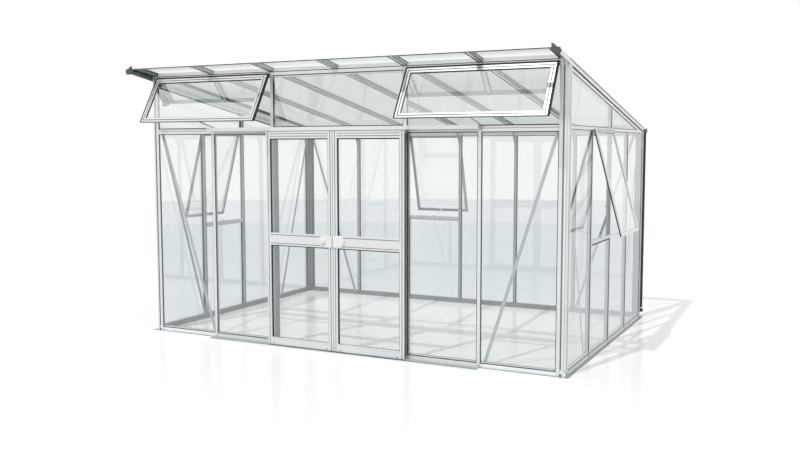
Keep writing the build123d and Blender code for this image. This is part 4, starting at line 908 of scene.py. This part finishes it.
# %% [markdown]
# ## Edge of the verges
# Where a verge lies on the raking rail, the shade under its lower edge shows as a dull line along the slope
# of the gable. The line is painted shade. It could be part of a material, but a thin metal strip on the face
# of the gable follows the roof by itself.

# %% Verge edge lines
VERGE_EDGE_DROP, VERGE_EDGE_WIDTH, VERGE_EDGE_DEPTH = 3.5 * MM, 11, 0.6

edges = bmesh.new()
for side in SIDES:
    ends = [Vector((side * half_width, y, seat(y) - VERGE_EDGE_DROP)) for y in (front_y, ROOF_BACK)]
    lay_strip(edges, ends, Vector((side, 0, 0)), VERGE_EDGE_WIDTH, VERGE_EDGE_DEPTH)
fitting("verge_edge_lines", edges, shade_line_metal)

# %% [markdown]
# ## Grooves
# The profiles have narrow grooves, and a grey strip on the floor of each is painted shade, the shade that
# lies deep in a groove: a metal grey on the front and rear faces of the posts and on the transom, and a
# darker grey on the side faces. They draw the fine grey lines on the corner posts and the transom, and short
# rubber plugs close the grooves at the feet. The grooves themselves are in the CAD, so only their floors and
# plugs are added.

# %% Groove floors and plugs
POST_GROOVE = (31 * MM, 43.5 * MM)     # both edges of a groove, from the corner of the post
POST_GROOVE_DEPTH = 10 * MM
GROOVE_WIDTH, GROOVE_FILL, PLUG_FILL = 12.4, 7, 9.6
GROOVE_FOOT, FRONT_TOP, SIDE_TOP, REAR_TOP = 60 * MM, 2250 * MM, 2230 * MM, 1780 * MM
PLUG_FOOT, PLUG_HEAD = 8 * MM, 24 * MM
TRANSOM_GROOVE_DEPTH, TRANSOM_LINE = 2 * MM, (3.8, 0.3)

post_floors, side_floors, plugs = bmesh.new(), bmesh.new(), bmesh.new()
groove_in = sum(POST_GROOVE) / 2
groove_x, groove_front, groove_back = half_width - groove_in, front_y + groove_in, back_y - groove_in
transom_middle = (TRANSOM_LOW + TRANSOM_HIGH) / 2
for side in SIDES:
    outward = Vector((side, 0, 0))
    spots = [
        (post_floors, Vector((side * groove_x, front_y, 0)), FRONT, FRONT_TOP),
        (side_floors, Vector((side * half_width, groove_front, 0)), outward, SIDE_TOP),
        (side_floors, Vector((side * half_width, groove_back, 0)), outward, REAR_TOP),
        (post_floors, Vector((side * groove_x, back_y, 0)), REAR, REAR_TOP),
    ]
    for bm, spot, out, top in spots:
        floor_line = spot - out * POST_GROOVE_DEPTH
        ends = [floor_line + UP * GROOVE_FOOT, floor_line + UP * top]
        lay_strip(bm, ends, out, GROOVE_WIDTH, GROOVE_FILL)
        ends = [floor_line + UP * PLUG_FOOT, floor_line + UP * PLUG_HEAD]
        lay_strip(plugs, ends, out, GROOVE_WIDTH, PLUG_FILL)
    run = side * 2 * field, side * house_end
    ends = [Vector((x, front_y + TRANSOM_GROOVE_DEPTH, transom_middle)) for x in run]
    lay_strip(post_floors, ends, FRONT, *TRANSOM_LINE)
fitting("post_groove_floors", post_floors, shade_line_metal)
fitting("side_groove_floors", side_floors, shade_and_joint_lines)
fitting("post_groove_plugs", plugs, rubber)

# %% [markdown]
# ## Door leaves
# The panes of the leaves sit deep in their frames behind thick dark seals, which run up both sides and along
# the head of each pane. A brush seal runs down the outer edge of each leaf. Both leaves are mirror images,
# so one set of functions makes both, and each set rides its own leaf.

# %% Seals of a leaf
LEAF_LOW, LEAF_HIGH, LEAF_FACE = 13 * MM, 1800 * MM, front_y - 60 * MM
LEAF_INNER, LEAF_OUTER, STILE = 2.5 * MM, 643 * MM, 40 * MM
LEAF_PANES = ((75 * MM, 858 * MM), (960 * MM, 1743 * MM))     # foot and head of each
DEEP_LIP = [(0, -14), (0, -5), (5, -5), (9, -14)]
BRUSH_IN, BRUSH_END, BRUSH_WIDTH, BRUSH_DEPTH = 16 * MM, 20 * MM, 20, 1.5
pane_near, pane_far = LEAF_INNER + STILE, LEAF_OUTER - STILE


def leaf_seals(side):
    bm = bmesh.new()
    for low, high in LEAF_PANES:
        ring = [(pane_far, low), (pane_far, high), (pane_near, high), (pane_near, low)][::side]
        corners = [Vector((side * x, LEAF_FACE, z)) for x, z in ring]
        band(bm, corners, FRONT, DEEP_LIP, closed=False)
    run = LEAF_LOW + BRUSH_END, LEAF_HIGH - BRUSH_END
    ends = [Vector((side * LEAF_OUTER, LEAF_FACE + BRUSH_IN, z)) for z in run]
    lay_strip(bm, ends, Vector((side, 0, 0)), BRUSH_WIDTH, BRUSH_DEPTH)
    return bm


print("clear width of a leaf pane:", round(pane_far - pane_near, 3))

# %% [markdown]
# ## Lines and screws of the leaves
# Grey strips on the floors of the grooves of the stiles and of the middle rail are painted shade, and two
# thin lines cross the head.
# The screws of the rollers are turned with a bevelled head. Small as they are, they tell how large a leaf
# is.

# %% Lines and screws of a leaf
STILE_LINE, RAIL_LINE, TOP_LINES = 20 * MM, 16 * MM, (1762 * MM, 1782 * MM)
LINE_DEPTH, LINE_STRIP, TOP_STRIP = 2 * MM, (3.8, 2.2), (4, 0.3)     # strips by width and thickness
SCREW = [(0.5, 0), (6, 0), (6, 1.6), (4.5, 2.8), (0.5, 2.8)]
SCREW_Z, SCREW_IN, SCREW_STEPS = 24.3 * MM, 60 * MM, 16


def leaf_lines(side):
    bm = bmesh.new()
    stile_lines = LEAF_INNER + STILE_LINE, LEAF_OUTER - STILE_LINE
    rail_lines = LEAF_PANES[0][1] + RAIL_LINE, LEAF_PANES[1][0] - RAIL_LINE
    grooves = [[(x, LEAF_LOW), (x, LEAF_HIGH)] for x in stile_lines]
    grooves += [[(pane_near, z), (pane_far, z)] for z in rail_lines]
    for path in grooves:
        ends = [Vector((side * x, LEAF_FACE + LINE_DEPTH, z)) for x, z in path]
        lay_strip(bm, ends, FRONT, *LINE_STRIP)
    for z in TOP_LINES:
        ends = [Vector((side * x, LEAF_FACE, z)) for x in (pane_near, pane_far)]
        lay_strip(bm, ends, FRONT, *TOP_STRIP)
    return bm


def leaf_screws(side):
    bm = bmesh.new()
    for x in (LEAF_INNER + SCREW_IN, LEAF_OUTER - SCREW_IN):
        turned(bm, SCREW, Vector((side * x, LEAF_FACE, SCREW_Z)), FRONT, SCREW_STEPS)
    return bm


for side, body in zip(SIDES, ("left_door", "right_door")):
    fitting(body + "_seals", leaf_seals(side), rubber, body)
    fitting(body + "_groove_floors", leaf_lines(side), shade_and_joint_lines, body)
    fitting(body + "_screws", leaf_screws(side), zinc, body)

# %% [markdown]
# ## Nuts
# Hexagon nuts hold the bars through the bolt channels on their inner faces. Each is turned in six steps,
# with the end of its bolt standing out of it, and a loop sets them at the same heights on every bar.

# %% Nuts on the bars
NUT = [(0.5, 0), (7, 0), (7, 5), (3.5, 5), (3.5, 9), (0.5, 9)]
NUT_SIDES = 6
NUT_HEIGHTS = (110 * MM, 640 * MM, 1170 * MM, 1700 * MM)
BAR_DEPTH = 38 * MM

spots = [((x, back_y - BAR_DEPTH), FRONT) for x in front_lines[1:-1]]
spots += [((side * 2 * field, front_y + BAR_DEPTH), REAR) for side in SIDES]
for side in SIDES:
    spots += [((side * (half_width - BAR_DEPTH), y), Vector((-side, 0, 0))) for y in side_lines[1:-1]]

nuts = bmesh.new()
for (x, y), inward in spots:
    for z in NUT_HEIGHTS:
        turned(nuts, NUT, Vector((x, y, z)), inward, NUT_SIDES)
fitting("bar_nuts", nuts, zinc)

# %% [markdown]
# ## Knee braces
# Short flat bars tie the rear bars to the rafters, which keeps the corner under the roof square. Each is a
# strip between a point on the bar and a point under the rafter.

# %% Knee braces
KNEE_FOOT, KNEE_REACH, KNEE_GAP = 1715 * MM, 90 * MM, 1 * MM
KNEE_WIDTH, KNEE_DEPTH = 22, 3
bar_face = back_y - BAR_DEPTH
knee_head = bar_face - KNEE_REACH

knees = bmesh.new()
for x in front_lines[1:-1]:
    ends = [Vector((x, bar_face, KNEE_FOOT)), Vector((x, knee_head, seat(knee_head) - KNEE_GAP))]
    way = (ends[1] - ends[0]).normalized()
    lay_strip(knees, ends, Vector((1, 0, 0)).cross(way), KNEE_WIDTH, KNEE_DEPTH)
fitting("knee_braces", knees, aluminium["y"])

# %% [markdown]
# ## Rain pipe
# A light ring sits on the rain pipe just over its elbow, and the elbow swells to a moulded socket. Both are
# round, so both are turned about an upright axis.

# %% Ring and elbow socket
PIPE_RING = [(14.2, 0), (17, 0), (17, 12), (14.2, 12)]
ELBOW_SOCKET = [(8, 0), (16, 4), (20, 13), (20, 24), (16, 33), (8, 36)]
PIPE_X, PIPE_BACK, RING_Z = 1915 * MM, 40 * MM, 84 * MM
SOCKET_BACK, SOCKET_Z, PIPE_STEPS = 8 * MM, 46 * MM, 24
pipe_y = back_y + PIPE_BACK

ring, socket = bmesh.new(), bmesh.new()
turned(ring, PIPE_RING, Vector((PIPE_X, pipe_y, RING_Z)), UP, PIPE_STEPS)
turned(socket, ELBOW_SOCKET, Vector((PIPE_X, pipe_y + SOCKET_BACK, SOCKET_Z)), UP, PIPE_STEPS)
fitting("pipe_ring", ring, white_abs)
fitting("pipe_elbow_socket", socket, black_pvc)
